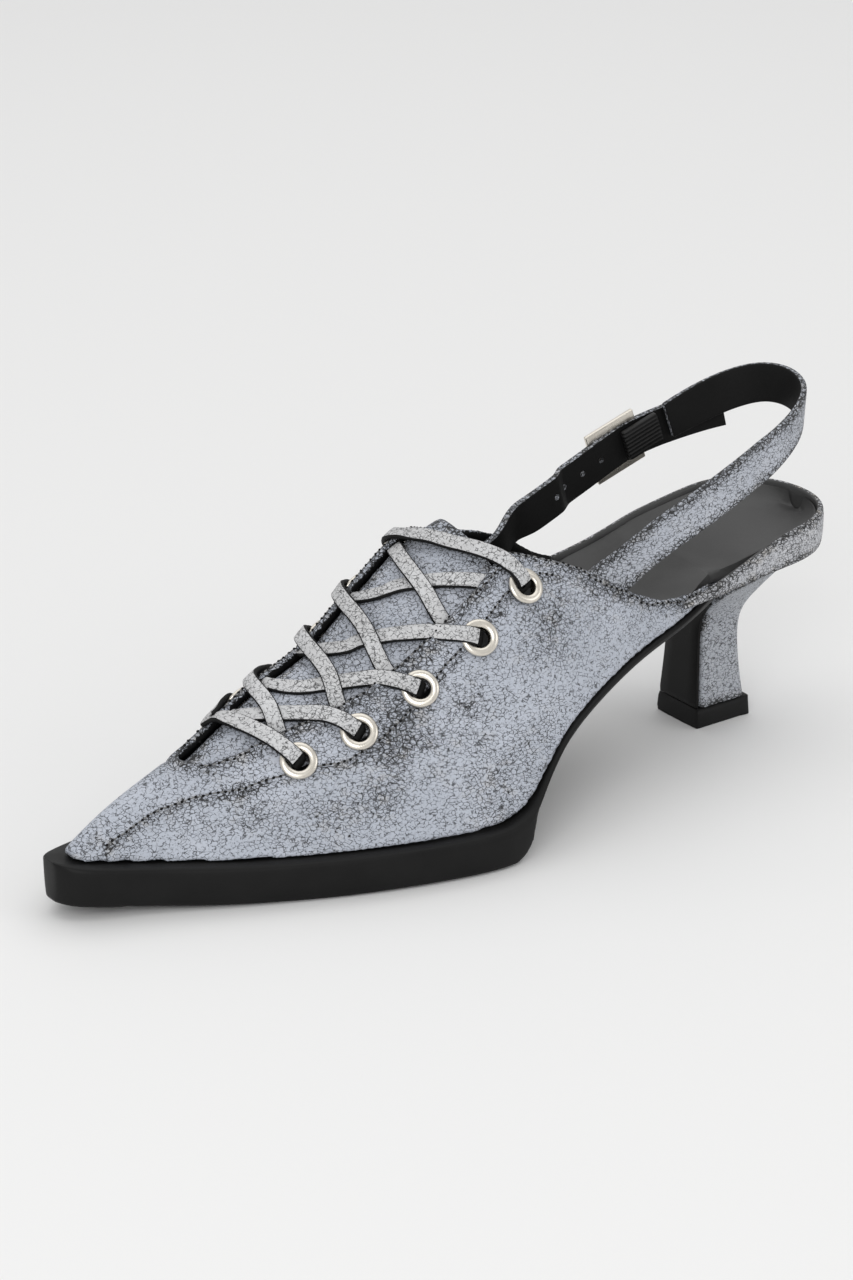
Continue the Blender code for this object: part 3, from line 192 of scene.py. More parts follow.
def mix(tree, factor, a, b):
    """Colour a where the factor is 0 and b where it is 1."""
    return node(tree, "ShaderNodeMix", {"data_type": "RGBA"}, {0: factor, 6: a, 7: b}, 2)


def grey(value):
    return (value, value, value, 1.0)


def rgb(red, green, blue):
    return (red, green, blue, 1.0)


def new_material(name, metallic=0.0, roughness=0.5):
    """A Principled material and its tree."""
    material = bpy.data.materials.new(name)
    material.use_nodes = True
    shader = material.node_tree.nodes["Principled BSDF"]
    shader.inputs["Metallic"].default_value = metallic
    shader.inputs["Roughness"].default_value = roughness
    return material, material.node_tree, shader


def place_of(tree):
    """Object coordinates."""
    return node(tree, "ShaderNodeTexCoord", {}, (), 3)


def noise(tree, place, scale, detail=2.0, roughness=0.5, output=0):
    return node(tree, "ShaderNodeTexNoise", {}, {"Vector": place, "Scale": scale, "Detail": detail,
                                                "Roughness": roughness}, output)


def shifted(tree, place, scale, amount):
    """Place, pushed about by a noise so that a pattern on it looks torn."""
    push = noise(tree, place, scale, 3.0, 0.6, 1)
    push = node(tree, "ShaderNodeVectorMath", {"operation": "SUBTRACT"}, (push, (0.5, 0.5, 0.5)))
    push = node(tree, "ShaderNodeVectorMath", {"operation": "SCALE"}, {0: push, "Scale": amount})
    return node(tree, "ShaderNodeVectorMath", {"operation": "ADD"}, (place, push))


def stretched(tree, place, factors):
    return node(tree, "ShaderNodeVectorMath", {"operation": "MULTIPLY"}, (place, factors))


def cells(tree, place, scale):
    """Distance from the edge of the nearest cell of a broken pattern."""
    return node(tree, "ShaderNodeTexVoronoi", {"feature": "DISTANCE_TO_EDGE"},
                {"Vector": place, "Scale": scale, "Randomness": 1.0})


def attribute(tree, name):
    return node(tree, "ShaderNodeAttribute", {"attribute_name": name}, (), 2)


def bump(tree, shader, height, strength, distance):
    normal = node(tree, "ShaderNodeBump", {}, {"Strength": strength, "Distance": distance, "Height": height})
    tree.links.new(normal.socket, shader.inputs["Normal"])


def feed(tree, shader, **values):
    for key, value in values.items():
        tree.links.new(value.socket, shader.inputs[key.replace("_", " ")])


def cracked_leather(name, light, dark, amount, worn):
    """Painted leather whose finish has broken into short black cracks, more of them where it is rubbed."""
    material, tree, shader = new_material(name)
    place = place_of(tree)
    low = stretched(tree, place, (1.0, 1.0, 1.5))
    torn = shifted(tree, low, 820.0, 0.0010)
    rub = attribute(tree, "rub")
    patches = noise(tree, place, 34.0, 4.0, 0.65).step(0.40, 0.72)
    where = patches * 0.10 * amount + rub * 0.28 * amount
    fine = (cells(tree, torn, 740.0) - where * 0.10).step(0.088, 0.028)
    fine = fine * (noise(tree, low, 700.0, 2.0, 0.6) + where * 0.7).step(0.440, 0.54)
    tiny = cells(tree, shifted(tree, low, 1500.0, 0.0006), 1500.0).step(0.14, 0.04)
    tiny = tiny * (noise(tree, place, 1300.0, 2.0, 0.6) + where * 0.6).step(0.50, 0.62)
    deep = (cells(tree, torn, 520.0) - where * 0.16).step(0.06, 0.02)
    deep = deep * (noise(tree, place, 560.0, 3.0, 0.65) + where * 1.1).step(0.64, 0.72)
    specks = (noise(tree, place, 1700.0, 2.0, 0.7) + where * 0.55).step(0.68, 0.78)
    crack = (fine * 0.84).most(tiny * 0.34).most(deep * 0.98).most(specks * (0.2 + where * 1.7).least(1.0))
    tone = noise(tree, place, 30.0, 4.0, 0.6).step(0.34, 0.66)
    base = mix(tree, tone, rgb(*dark), rgb(*light))
    bare = noise(tree, torn, 210.0, 4.0, 0.7).step(0.50, 0.66) * (rub * 0.8 + 0.05) * worn
    base = mix(tree, bare, base, rgb(0.50, 0.465, 0.41))
    base = mix(tree, crack, base, grey(0.012))
    feed(tree, shader, Base_Color=base, Roughness=0.46 + crack * 0.25 + tone * 0.06)
    grain = noise(tree, place, 2400.0, 2.0, 0.6)
    bump(tree, shader, grain * 0.12 - crack * 0.55, 0.6, 0.0003)
    return material


def black_leather(name, shade, roughness, grain=0.25, gloss=0.3):
    """Plain dark leather, rubber, paint or thread with a fine grain and a slight haze."""
    material, tree, shader = new_material(name)
    shader.inputs["Specular IOR Level"].default_value = gloss
    place = place_of(tree)
    haze = noise(tree, place, 60.0, 4.0, 0.6).step(0.3, 0.75)
    colour = mix(tree, haze, grey(shade), grey(shade * 1.5 + 0.001))
    fine = noise(tree, place, 1500.0, 3.0, 0.6)
    feed(tree, shader, Base_Color=colour, Roughness=roughness + haze * 0.12 + fine * 0.08)
    bump(tree, shader, fine, grain, 0.0002)
    return material


def ribbed_cloth(name, axis):
    """Black elastic with ribs across an axis."""
    material, tree, shader = new_material(name, 0.0, 0.55)
    shader.inputs["Specular IOR Level"].default_value = 0.25
    along = node(tree, "ShaderNodeVectorMath", {"operation": "DOT_PRODUCT"},
                 (place_of(tree), tuple(axis)), 1)
    rib = (along * (2.0 * math.pi / RIB_PITCH)).maths("SINE")
    # The colour follows the ribs, lighter on their crests and darker in the valleys between them: painted
    # shade of the rib relief.
    feed(tree, shader, Base_Color=mix(tree, rib.step(-0.4, 0.8), grey(0.002), grey(0.018)))
    bump(tree, shader, rib, 0.5, 0.0003)
    return material


def nickel_plate(name):
    """Warm polished nickel with faint brushing."""
    material, tree, shader = new_material(name, 1.0, 0.25)
    place = place_of(tree)
    smear = noise(tree, place, 420.0, 3.0, 0.6)
    colour = mix(tree, smear, rgb(0.64, 0.60, 0.53), rgb(0.76, 0.72, 0.65))
    feed(tree, shader, Base_Color=colour, Roughness=0.20 + smear * 0.16)
    bump(tree, shader, noise(tree, place, 1700.0, 2.0, 0.5), 0.06, 0.0002)
    return material


def deselect():
    bpy.ops.object.select_all(action="DESELECT")


def only(piece):
    """Selects one piece and makes it active."""
    deselect()
    piece.select_set(True)
    bpy.context.view_layer.objects.active = piece


def apply(piece, kind, **settings):
    """Adds a modifier and applies it."""
    only(piece)
    modifier = piece.modifiers.new(kind.lower(), kind)
    for key, value in settings.items():
        setattr(modifier, key, value)
    bpy.ops.object.modifier_apply(modifier=modifier.name)


def subdivide(piece, levels=2):
    apply(piece, "SUBSURF", levels=levels, render_levels=levels)


def copy_of(node_name, piece_name):
    """A merged copy of a CAD node's mesh, in quads where it can be."""
    made = bpy.data.objects.new(piece_name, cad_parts[node_name].data.copy())
    bpy.context.scene.collection.objects.link(made)
    made.data.materials.clear()
    only(made)
    bpy.ops.object.mode_set(mode="EDIT")
    bpy.ops.mesh.select_all(action="SELECT")
    bpy.ops.mesh.remove_doubles(threshold=0.01 * MM)
    bpy.ops.mesh.tris_convert_to_quads(face_threshold=math.radians(40), shape_threshold=math.radians(60))
    bpy.ops.object.mode_set(mode="OBJECT")
    return made


def crease(piece, angle, amount):
    """Keeps the edges that turn more than an angle, when the piece is subdivided."""
    work = bmesh.new()
    work.from_mesh(piece.data)
    layer = work.edges.layers.float.new("crease_edge")
    for edge in work.edges:
        if len(edge.link_faces) == 2 and edge.calc_face_angle() > angle:
            edge[layer] = amount
    work.to_mesh(piece.data)
    work.free()


def finish_piece(piece, materials, slot, *nodes, angle=40.0):
    """Gives a piece its materials, its shading, its body and what it stands for."""
    for material in materials:
        piece.data.materials.append(material)
    only(piece)
    bpy.ops.object.shade_smooth_by_angle(angle=math.radians(angle))
    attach(piece, "root")
    if nodes:
        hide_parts(*nodes)


def mesh_piece(name, verts, faces):
    """A new piece from points and faces."""
    mesh = bpy.data.meshes.new(name)
    mesh.from_pydata([tuple(v) for v in verts], [], faces)
    mesh.update()
    made = bpy.data.objects.new(name, mesh)
    bpy.context.scene.collection.objects.link(made)
    return made


def tree_of(piece):
    work = bmesh.new()
    work.from_mesh(piece.data)
    tree = BVHTree.FromBMesh(work)
    work.free()
    return tree


def metres(points):
    """Points given in millimetres as vectors in metres."""
    return [Vector(p) * MM for p in points]


def smooth_line(points, step):
    """Even points on a smooth curve through a route."""
    pts = [2 * points[0] - points[1]] + list(points) + [2 * points[-1] - points[-2]]
    fine = []
    for a, b, c, d in zip(pts, pts[1:], pts[2:], pts[3:]):
        for k in range(10):
            t = k / 10
            fine.append(0.5 * (2 * b + (c - a) * t + (2 * a - 5 * b + 4 * c - d) * t * t
                               + (3 * b - a - 3 * c + d) * t ** 3))
    fine.append(points[-1].copy())
    length = np.concatenate([[0.0], np.cumsum([(b - a).length for a, b in zip(fine, fine[1:])])])
    count = max(int(round(length[-1] / step)), 2)
    rows = np.array([tuple(p) for p in fine])
    wanted = np.linspace(0.0, length[-1], count + 1)
    return [Vector(np.array([np.interp(w, length, rows[:, k]) for k in range(3)])) for w in wanted]


def line_distance(points, line):
    """Distance of each point to a line of points, as an array."""
    line = np.array([tuple(p) for p in line])
    best = np.full(len(points), 1.0)
    for a, b in zip(line, line[1:]):
        along = b - a
        t = np.clip((points - a) @ along / max(float(along @ along), 1e-12), 0.0, 1.0)
        best = np.minimum(best, np.linalg.norm(points - (a + t[:, None] * along), axis=1))
    return best


def positions(piece, what="co"):
    """Positions of the vertices as rows of an array, or their normals where what is "normal"."""
    flat = np.empty(len(piece.data.vertices) * 3)
    piece.data.vertices.foreach_get(what, flat)
    return flat.reshape(-1, 3)


def move_to(piece, points):
    piece.data.vertices.foreach_set("co", points.ravel())


def main_axes(points):
    """Directions in which points spread, the widest first."""
    return np.linalg.svd(points - points.mean(axis=0), full_matrices=False)[2]


def fade(distance, reach, middle=0.0):
    """Bell curve over a distance: 1 at the middle, about a third one reach away from it."""
    return np.exp(-((distance - middle) / reach) ** 2)


def set_attribute(piece, name, values):
    layer = piece.data.attributes.new(name, "FLOAT", "POINT")
    layer.data.foreach_set("value", np.asarray(values, dtype=float))


def middle_of_foot(x):
    """Y and Z inside the shoe at an X, to tell the outside of the upper from its inside."""
    y = np.interp(x, [0.015, 0.09, 0.14, 0.185, 0.225], [0.0, 0.003, 0.008, 0.006, 0.006])
    z = np.interp(x, [0.015, 0.06, 0.10, 0.14, 0.19, 0.225], [0.046, 0.042, 0.034, 0.024, 0.019, 0.017])
    return y, z


def away_from_seat(point, seat_x):
    """Level direction from the middle of the heel seat at an X, or from the middle line in front of it."""
    return Vector((min(point.x - seat_x, 0.0), point.y, 0.0)).normalized()


def rub_edges(piece, samples, reach, least):
    """Marks the leather as rubbed near points on its edges."""
    near = KDTree(len(samples))
    for k, spot in enumerate(samples):
        near.insert(spot, k)
    near.balance()
    away = np.array([near.find(v.co)[2] for v in piece.data.vertices])
    set_attribute(piece, "rub", np.maximum(fade(away, reach), least))


def sharp_points(piece, angle):
    """Points every half millimetre or so along the edges that turn more than an angle."""
    work = bmesh.new()
    work.from_mesh(piece.data)
    found = []
    for edge in work.edges:
        if len(edge.link_faces) == 2 and edge.calc_face_angle() > angle:
            a, b = edge.verts[0].co, edge.verts[1].co
            count = max(int((b - a).length / (0.5 * MM)), 1)
            found += [a.lerp(b, k / count) for k in range(count + 1)]
    work.free()
    return found


# Materials
LEATHER = cracked_leather("cracked_leather", (0.47, 0.50, 0.565), (0.405, 0.435, 0.495), 0.95, 0.6)
HEEL_LEATHER = cracked_leather("heel_leather", (0.43, 0.45, 0.49), (0.37, 0.39, 0.43), 1.3, 0.3)
STRAP_LEATHER = cracked_leather("strap_leather", (0.48, 0.505, 0.56), (0.42, 0.445, 0.50), 1.2, 0.4)
RIM_LEATHER = cracked_leather("rim_leather", (0.54, 0.55, 0.58), (0.46, 0.47, 0.50), 1.1, 1.0)
LACE_LEATHER = cracked_leather("lace_leather", (0.57, 0.575, 0.585), (0.50, 0.50, 0.505), 0.8, 0.6)
LINING = black_leather("black_lining", 0.0035, 0.5, 0.25, 0.18)
SOCK = black_leather("sock_leather", 0.038, 0.36, 0.12, 0.5)
RUBBER = black_leather("sole_rubber", 0.004, 0.38, 0.10, 0.18)
EDGE_PAINT = black_leather("black_edge", 0.005, 0.6, 0.25, 0.2)
THREAD = black_leather("pale_thread", 0.17, 0.7)
NICKEL = nickel_plate("nickel")

# Places on the upper where the finish is broken most: the middle in millimetres, the radius and how much.
WORN_SPOTS = (
    ((133, 30, 36), 7, 0.95), ((132, 27, 42), 6, 0.8), ((143, 36, 23), 6, 0.75), ((81, 30, 61), 9, 0.6),
    ((119, 24, 55), 5, 0.6), ((87, 33, 55), 7, 0.5), ((113, 47, 19), 12, 0.55), ((97, 45, 32), 8, 0.3),
    ((177, 17, 27), 7, 0.45), ((220, 10, 18), 9, 0.6), ((112, 34, 44), 7, 0.45), ((158, 32, 19), 10, 0.45),
    ((62, 25, 63), 9, 0.75), ((137, 31, 30), 5, 0.7), ((125, 26, 49), 5, 0.7),
)
# Soft creases: a line on the leather in millimetres, its depth and its half width.
CREASES = (
    (((150, 34, 24), (140, 38, 26), (128, 40, 27)), -0.5, 3.0),
    (((140, 30, 34), (132, 33, 36), (122, 37, 35), (112, 40, 33)), -0.6, 3.2),
    (((128, 29, 42), (118, 33, 42), (108, 36, 40)), -0.4, 2.6),
    (((175, 22, 21), (165, 27, 22), (152, 33, 20)), -0.4, 3.0),
    (((195, 14, 21), (185, 19, 20), (172, 24, 18)), -0.35, 2.6),
    (((118, 46, 24), (108, 46, 28), (98, 43, 32), (90, 40, 37)), -0.5, 3.0),
    (((104, 46, 26), (96, 43, 31), (88, 39, 35), (78, 35, 40)), 0.4, 3.0),
    (((96, 34, 52), (86, 33, 50), (74, 31, 48)), -0.4, 3.2),
    (((80, 36, 38), (70, 33, 42), (60, 30, 45)), -0.4, 2.6),
)


def make_upper():
    """Upper: the CAD shell made smooth, with its folded edges and soft creases."""
    piece = copy_of("upper", "upper_leather")
    crease(piece, 1.0, 0.35)
    subdivide(piece)
    apply(piece, "REMESH", mode="VOXEL", voxel_size=VOXEL, adaptivity=0.0)
    apply(piece, "SMOOTH", factor=0.5, iterations=9)
    points, outs = positions(piece), positions(piece, "normal")
    edge = np.minimum.reduce([line_distance(points, metres(line[side]))
                              for line in (FACING, TOPLINE) for side in ("outer", "inner")])
    seam = np.minimum.reduce([line_distance(points, metres(SEAM[side])) for side in ("outer", "inner")])
    y, z = middle_of_foot(points[:, 0])
    away = np.stack([0 * y, points[:, 1] - y, points[:, 2] - z], axis=1)
    outside = (np.einsum("ij,ij->i", outs, away) > 0).astype(float)
    roll = ROLL_HEIGHT * fade(edge, ROLL_REACH, ROLL_INSET)
    groove = -GROOVE_DEPTH * fade(edge, GROOVE_REACH, FACING_INSET) - SEAM_DEPTH * fade(seam, SEAM_REACH)
    creases = np.zeros(len(points))
    for line, depth, wide in CREASES:
        creases += depth * MM * fade(line_distance(points, metres(line)), wide * MM)
    points += outs * ((roll + groove + creases) * outside)[:, None]
    move_to(piece, points)
    rub = fade(edge, 3.5 * MM) + 0.7 * fade(seam, 1.6 * MM)
    rub += np.clip(-creases / (0.5 * MM), 0.0, 1.0) * 0.25
    for spot, radius, much in WORN_SPOTS:
        rub += 0.75 * much * fade(np.linalg.norm(points - np.array(spot) * MM, axis=1), radius * MM)
    set_attribute(piece, "rub", np.clip(rub, 0.0, 1.0))
    finish_piece(piece, [LEATHER, LINING], "leather", "upper", angle=60.0)
    own = tree_of(piece)
    for face in piece.data.polygons:
        y, z = middle_of_foot(face.center.x)
        away = Vector((0.0, face.center.y - y, face.center.z - z)).normalized()
        inside = face.normal.dot(away) < UPPER_INSIDE
        if not inside and face.center.x < BACK_OF_THROAT:
            start = face.center + face.normal * 0.5 * MM
            inside = own.ray_cast(start, face.normal, LONGEST_SPAN)[0] is not None
        if inside:
            face.material_index = 1
    return piece


def throat_edge(side, x):
    """Point of a facing's edge at an X."""
    rows = np.array(sorted(FACING[side]), dtype=float)
    return Vector([float(np.interp(x / MM, rows[:, 0], rows[:, k])) * MM for k in range(3)])


def stitch_line(tree, line, inset, towards):
    """Points on the leather beside a line, a distance along the leather towards a point."""
    points, outs = [], []
    smooth = smooth_line(metres(line), STITCH_PITCH)
    for k, p in enumerate(smooth):
        spot, out, _, _ = tree.find_nearest(p)
        along = (smooth[min(k + 1, len(smooth) - 1)] - smooth[max(k - 1, 0)]).normalized()
        across = out.cross(along).normalized()
        if across.dot(towards - spot) < 0:
            across = -across
        spot, out, _, _ = tree.find_nearest(spot + across * inset + out * 1.5 * MM)
        points.append(spot)
        outs.append(out)
    return points, outs


def stitches(name, lines, material, length, radius, shift):
    """Rows of short grains along lines of points, each grain a share of the way from a point to the next."""
    deselect()
    bpy.ops.mesh.primitive_uv_sphere_add(segments=6, ring_count=4, radius=1.0)
    one = bpy.context.active_object
    shape = positions(one)
    faces = [tuple(p.vertices) for p in one.data.polygons]
    bpy.data.objects.remove(one)
    verts, polygons = [], []
    for points, outs in lines:
        for k in range(len(points) - 1):
            middle = points[k].lerp(points[k + 1], shift)
            along = (points[k + 1] - points[k]).normalized()
            out = (outs[k] - along * outs[k].dot(along)).normalized()
            across = out.cross(along)
            rows = np.array([tuple(along * length / 2), tuple(across * radius), tuple(out * radius)])
            first = len(verts)
            verts += list(shape @ rows + np.array(tuple(middle)))
            polygons += [tuple(first + i for i in face) for face in faces]
    piece = mesh_piece(name, verts, polygons)
    finish_piece(piece, [material], "leather", angle=80.0)


def seat_of(name):
    """Middle of an eyelet's flange and the direction it faces, from its CAD node."""
    points = positions(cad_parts[name])
    middle = points.mean(axis=0)
    axis = Vector(main_axes(points)[2])
    y, z = middle_of_foot(middle[0])
    if axis.dot(Vector((0.0, middle[1] - y, middle[2] - z))) < 0:
        axis = -axis
    along = (points - middle) @ np.array(tuple(axis))
    return Vector(middle) + axis * float(along.max() - EYELET_SINK), axis


def make_eyelets():
    """Eyelets: a turned flange and barrel each."""
    seats = {}
    radius = (EYELET_OUTER + EYELET_HOLE) / 4
    for side in ("outer", "inner"):
        for number in range(1, EYELETS_PER_SIDE + 1):
            name = "eyelet_%s_%d" % (side, number)
            middle, axis = seat_of(name)
            seats[(side, number)] = (middle, axis)
            turn = axis.to_track_quat("Z", "Y").to_matrix().to_4x4()
            deselect()
            bpy.ops.mesh.primitive_torus_add(major_segments=48, minor_segments=16, major_radius=radius,
                                             minor_radius=(EYELET_OUTER - EYELET_HOLE) / 4)
            ring = bpy.context.active_object
            ring.data.transform(Matrix.Diagonal((1.0, 1.0, EYELET_FLATNESS, 1.0)))
            deselect()
            bpy.ops.mesh.primitive_cylinder_add(vertices=48, radius=EYELET_HOLE / 2 + 0.3 * MM,
                                                depth=BARREL_LENGTH, location=(0.0, 0.0, -BARREL_DROP),
                                                end_fill_type="NOTHING")
            barrel = bpy.context.active_object
            bpy.ops.object.transform_apply(location=True)
            apply(barrel, "SOLIDIFY", thickness=BARREL_WALL, offset=0.0)
            only(ring)
            barrel.select_set(True)
            bpy.ops.object.join()
            ring.data.transform(Matrix.Translation(middle) @ turn)
            ring.location = (0.0, 0.0, 0.0)
            ring.name = "ring_%s_%d" % (side, number)
            finish_piece(ring, [NICKEL], "nickel", name)
    return seats


def band(name, points, outs, width, thick, materials, slot, *nodes):
    """A flat band along points: its face in the first material, its edges and back in the second."""
    corners = ((0.50, -0.20), (0.50, 0.20), (0.44, 0.46), (0.22, 0.52), (0.0, 0.54), (-0.22, 0.52),
               (-0.44, 0.46), (-0.50, 0.20), (-0.50, -0.20), (-0.42, -0.46), (0.0, -0.50), (0.42, -0.46))
    verts, faces = [], []
    count = len(corners)
    for k, point in enumerate(points):
        along = (points[min(k + 1, len(points) - 1)] - points[max(k - 1, 0)]).normalized()
        out = (outs[k] - along * outs[k].dot(along)).normalized()
        across = along.cross(out)
        verts += [point + across * (a * width) + out * (b * thick) for a, b in corners]
    for k in range(len(points) - 1):
        for c in range(count):
            d = (c + 1) % count
            faces.append((k * count + c, (k + 1) * count + c, (k + 1) * count + d, k * count + d))
    last = (len(points) - 1) * count
    faces += [tuple(range(count)), tuple(last + c for c in reversed(range(count)))]
    piece = mesh_piece(name, verts, faces)
    only(piece)
    bpy.ops.object.mode_set(mode="EDIT")
    bpy.ops.mesh.select_all(action="SELECT")
    bpy.ops.mesh.normals_make_consistent(inside=False)
    bpy.ops.object.mode_set(mode="OBJECT")
    finish_piece(piece, materials, slot, *nodes, angle=50.0)
    edges_and_back = {0, 1, 6, 7, 8, 9, 10, 11}
    for k, face in enumerate(piece.data.polygons):
        if k >= (len(points) - 1) * count or k % count in edges_and_back:
            face.material_index = 1


# Strands of the lace: the eyelet at each end, whether the strand comes into it from above or runs below its
# facing, the X where it passes the facing's edge, and the visible course between them in millimetres.
STRANDS = (
    (("outer", 1, "above", None), ((164.9, 14.0, 38.6), (167.5, 6.5, 40.0), (170.8, -1.0, 40.8)),
     ("inner", 1, "above", 173.5)),
    (("outer", 5, "above", None), ((91.5, 20.0, 76.2), (95.0, 13.5, 77.9), (98.7, 6.0, 78.3),
                                   (102.3, -2.5, 78.6)), ("inner", 5, "above", 105.5)),
    (("outer", 1, "below", 161.5), ((160.7, 6.2, 44.2),), ("inner", 2, "above", 158.5)),
    (("outer", 2, "below", 144.5), ((142.4, 7.9, 50.3),), ("inner", 3, "above", 139.0)),
    (("outer", 3, "below", 130.0), ((129.1, 6.2, 60.0),), ("inner", 4, "above", 125.0)),
    (("outer", 4, "below", 112.0), ((112.8, 12.0, 69.3), (111.2, -1.6, 74.0)), ("inner", 5, "below", 107.5)),
    (("inner", 1, "below", 168.5), ((164.9, 3.1, 41.4), (160.5, 6.4, 42.0), (155.7, 10.3, 42.2),
                                    (150.2, 17.0, 43.2), (147.0, 21.6, 42.2)), ("outer", 2, "above", None)),
    (("inner", 2, "below", 156.5), ((149.8, 4.0, 46.2), (145.0, 7.9, 47.2), (138.8, 12.7, 48.5),
                                    (132.9, 18.2, 50.0), (129.6, 23.2, 50.0)), ("outer", 3, "above", None)),
    (("inner", 3, "below", 141.0), ((134.6, 3.4, 54.2), (130.8, 6.3, 56.3), (126.0, 10.6, 58.1),
                                    (117.9, 18.8, 60.2), (111.9, 25.4, 60.6)), ("outer", 4, "above", None)),
    (("inner", 4, "below", 124.0), ((119.5, -1.6, 65.2), (115.0, 2.9, 68.1), (109.0, 10.1, 70.5),
                                    (103.5, 15.5, 71.3)), ("outer", 5, "below", 98.5)),
)


def make_lace(seats):
    """Lace: two bars and crossed pairs that run through the eyelets, with hidden ends."""

    def slope(spot):
        """Direction away from the tongue at a point over the throat."""
        near, far = throat_edge("outer", spot.x), throat_edge("inner", spot.x)
        share = min(max((spot.y - far.y) / max(near.y - far.y, 1.0 * MM), -0.2), 1.2)
        return Vector((0.45, 0.95 * share - 0.30, 0.78)).normalized()

    def end(side, number, how, edge_x, nearest):
        """From the facing's edge to the eyelet: over the edge and in from above, or below the facing."""
        middle, out = seats[(side, number)]
        route = []
        if edge_x is not None:
            edge = throat_edge(side, edge_x * MM)
            rise = EDGE_RISE if how == "above" else -EDGE_DROP
            nearest = edge + slope(edge) * rise
            route.append((nearest, (slope(edge) + out).normalized() if how == "above" else slope(edge)))
        if how == "below":
            return route + [(middle - out * END_DEPTH, out)]
        towards = nearest - middle
        towards = (towards - out * towards.dot(out)).normalized()
        return route + [(middle + towards * near * MM + out * up * MM, (towards * a + out * b).normalized())
                        for near, up, a, b in INTO_EYELET]

    for number, (first, course, last) in enumerate(STRANDS):
        spots = metres(course)
        route = end(*first, spots[0])[::-1] + [(spot, slope(spot)) for spot in spots] + end(*last, spots[-1])
        line = smooth_line([spot for spot, out in route], LACE_STEP)
        outs = []
        for p in line:
            weights = [1.0 / max((p - spot).length, 0.5 * MM) ** 3 for spot, out in route]
            total = Vector((0.0, 0.0, 0.0))
            for weight, (spot, out) in zip(weights, route):
                total += out * weight
            outs.append(total.normalized())
        band("lace_%d" % (number + 1), line, outs, LACE_WIDTH, LACE_THICK, [LACE_LEATHER, EDGE_PAINT],
             "lace_leather", *(("lace",) if number == 0 else ()))


def make_strap(node_name, piece_name):
    """A strap: leather outside, black lining inside, with rounded edges."""
    piece = copy_of(node_name, piece_name)
    edges = sharp_points(piece, STRAP_EDGE)
    apply(piece, "BEVEL", width=STRAP_BEVEL, segments=3, limit_method="ANGLE", angle_limit=STRAP_EDGE)
    subdivide(piece)
    rub_edges(piece, edges, 2.2 * MM, 0.12)
    finish_piece(piece, [STRAP_LEATHER, LINING], "leather", node_name, angle=50.0)
    for face in piece.data.polygons:
        if face.normal.dot(away_from_seat(face.center, 0.0)) < STRAP_INSIDE:
            face.material_index = 1


def make_plain(node_name, piece_name, material, slot, angle, amount, levels=2):
    """A smooth copy of a CAD node in one material. Edges over an angle stay sharp by an amount."""
    piece = copy_of(node_name, piece_name)
    edges = sharp_points(piece, 0.8)
    crease(piece, angle, amount)
    subdivide(piece, levels)
    if material in (HEEL_LEATHER, RIM_LEATHER):
        rub_edges(piece, edges, 2.0 * MM, 0.1)
    finish_piece(piece, [material], slot, node_name)
    return piece


def box(long, wide, high, x=0.0):
    """A box round the origin, moved along X."""
    deselect()
    bpy.ops.mesh.primitive_cube_add(size=1.0)
    made = bpy.context.active_object
    made.data.transform(Matrix.Translation((x, 0.0, 0.0)) @ Matrix.Diagonal((long, wide, high, 1.0)))
    return made


def make_buckle():
    """Buckle frame: a flat plate with two openings and softened edges, laid on the CAD frame."""
    points = positions(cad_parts["buckle_frame"])
    middle = (points.max(axis=0) + points.min(axis=0)) / 2
    axes = main_axes(points)
    spread = [float(np.ptp(points @ axis)) for axis in axes]
    long, wide = BUCKLE_LENGTH, spread[1] if spread[1] < BUCKLE_LENGTH else spread[0]
    ring = box(long, wide, BUCKLE_THICK)
    opening = long / 2 - BUCKLE_BAR - BUCKLE_POST / 2
    for end in (-1.0, 1.0):
        hole = box(opening, wide - 2 * BUCKLE_BAR, 100.0 * MM, end * (opening + BUCKLE_POST) / 2)
        apply(ring, "BOOLEAN", object=hole, operation="DIFFERENCE", solver="EXACT")
        bpy.data.objects.remove(hole)
    apply(ring, "BEVEL", width=BUCKLE_BEVEL, segments=3, limit_method="ANGLE")
    along, across = Vector(axes[0]), Vector(axes[1])
    turn = Matrix((along, across, along.cross(across))).transposed().to_4x4()
    ring.data.transform(Matrix.Translation(middle) @ turn)
    ring.name = "buckle"
    finish_piece(ring, [NICKEL], "nickel", "buckle_frame", angle=30.0)


def make_tongue():
    """Tongue: the CAD plate made smooth, its top end drawn out to where the photo shows it."""
    piece = copy_of("tongue", "tongue_leather")
    edges = sharp_points(piece, 0.8)
    crease(piece, 1.2, 0.3)
    subdivide(piece)
    rub_edges(piece, edges, 3.0 * MM, 0.15)
    points = positions(piece)
    pull = np.clip((TONGUE_FROM - points[:, 0]) / TONGUE_OVER, 0.0, 1.0) ** 2
    free = np.clip((TONGUE_NEAR - points[:, 1]) / TONGUE_OVER, 0.0, 1.0)
    points[:, 0] -= TONGUE_PULL * pull
    points[:, 2] += TONGUE_LIFT * pull * free
    move_to(piece, points)
    finish_piece(piece, [LEATHER], "leather", "tongue", angle=60.0)


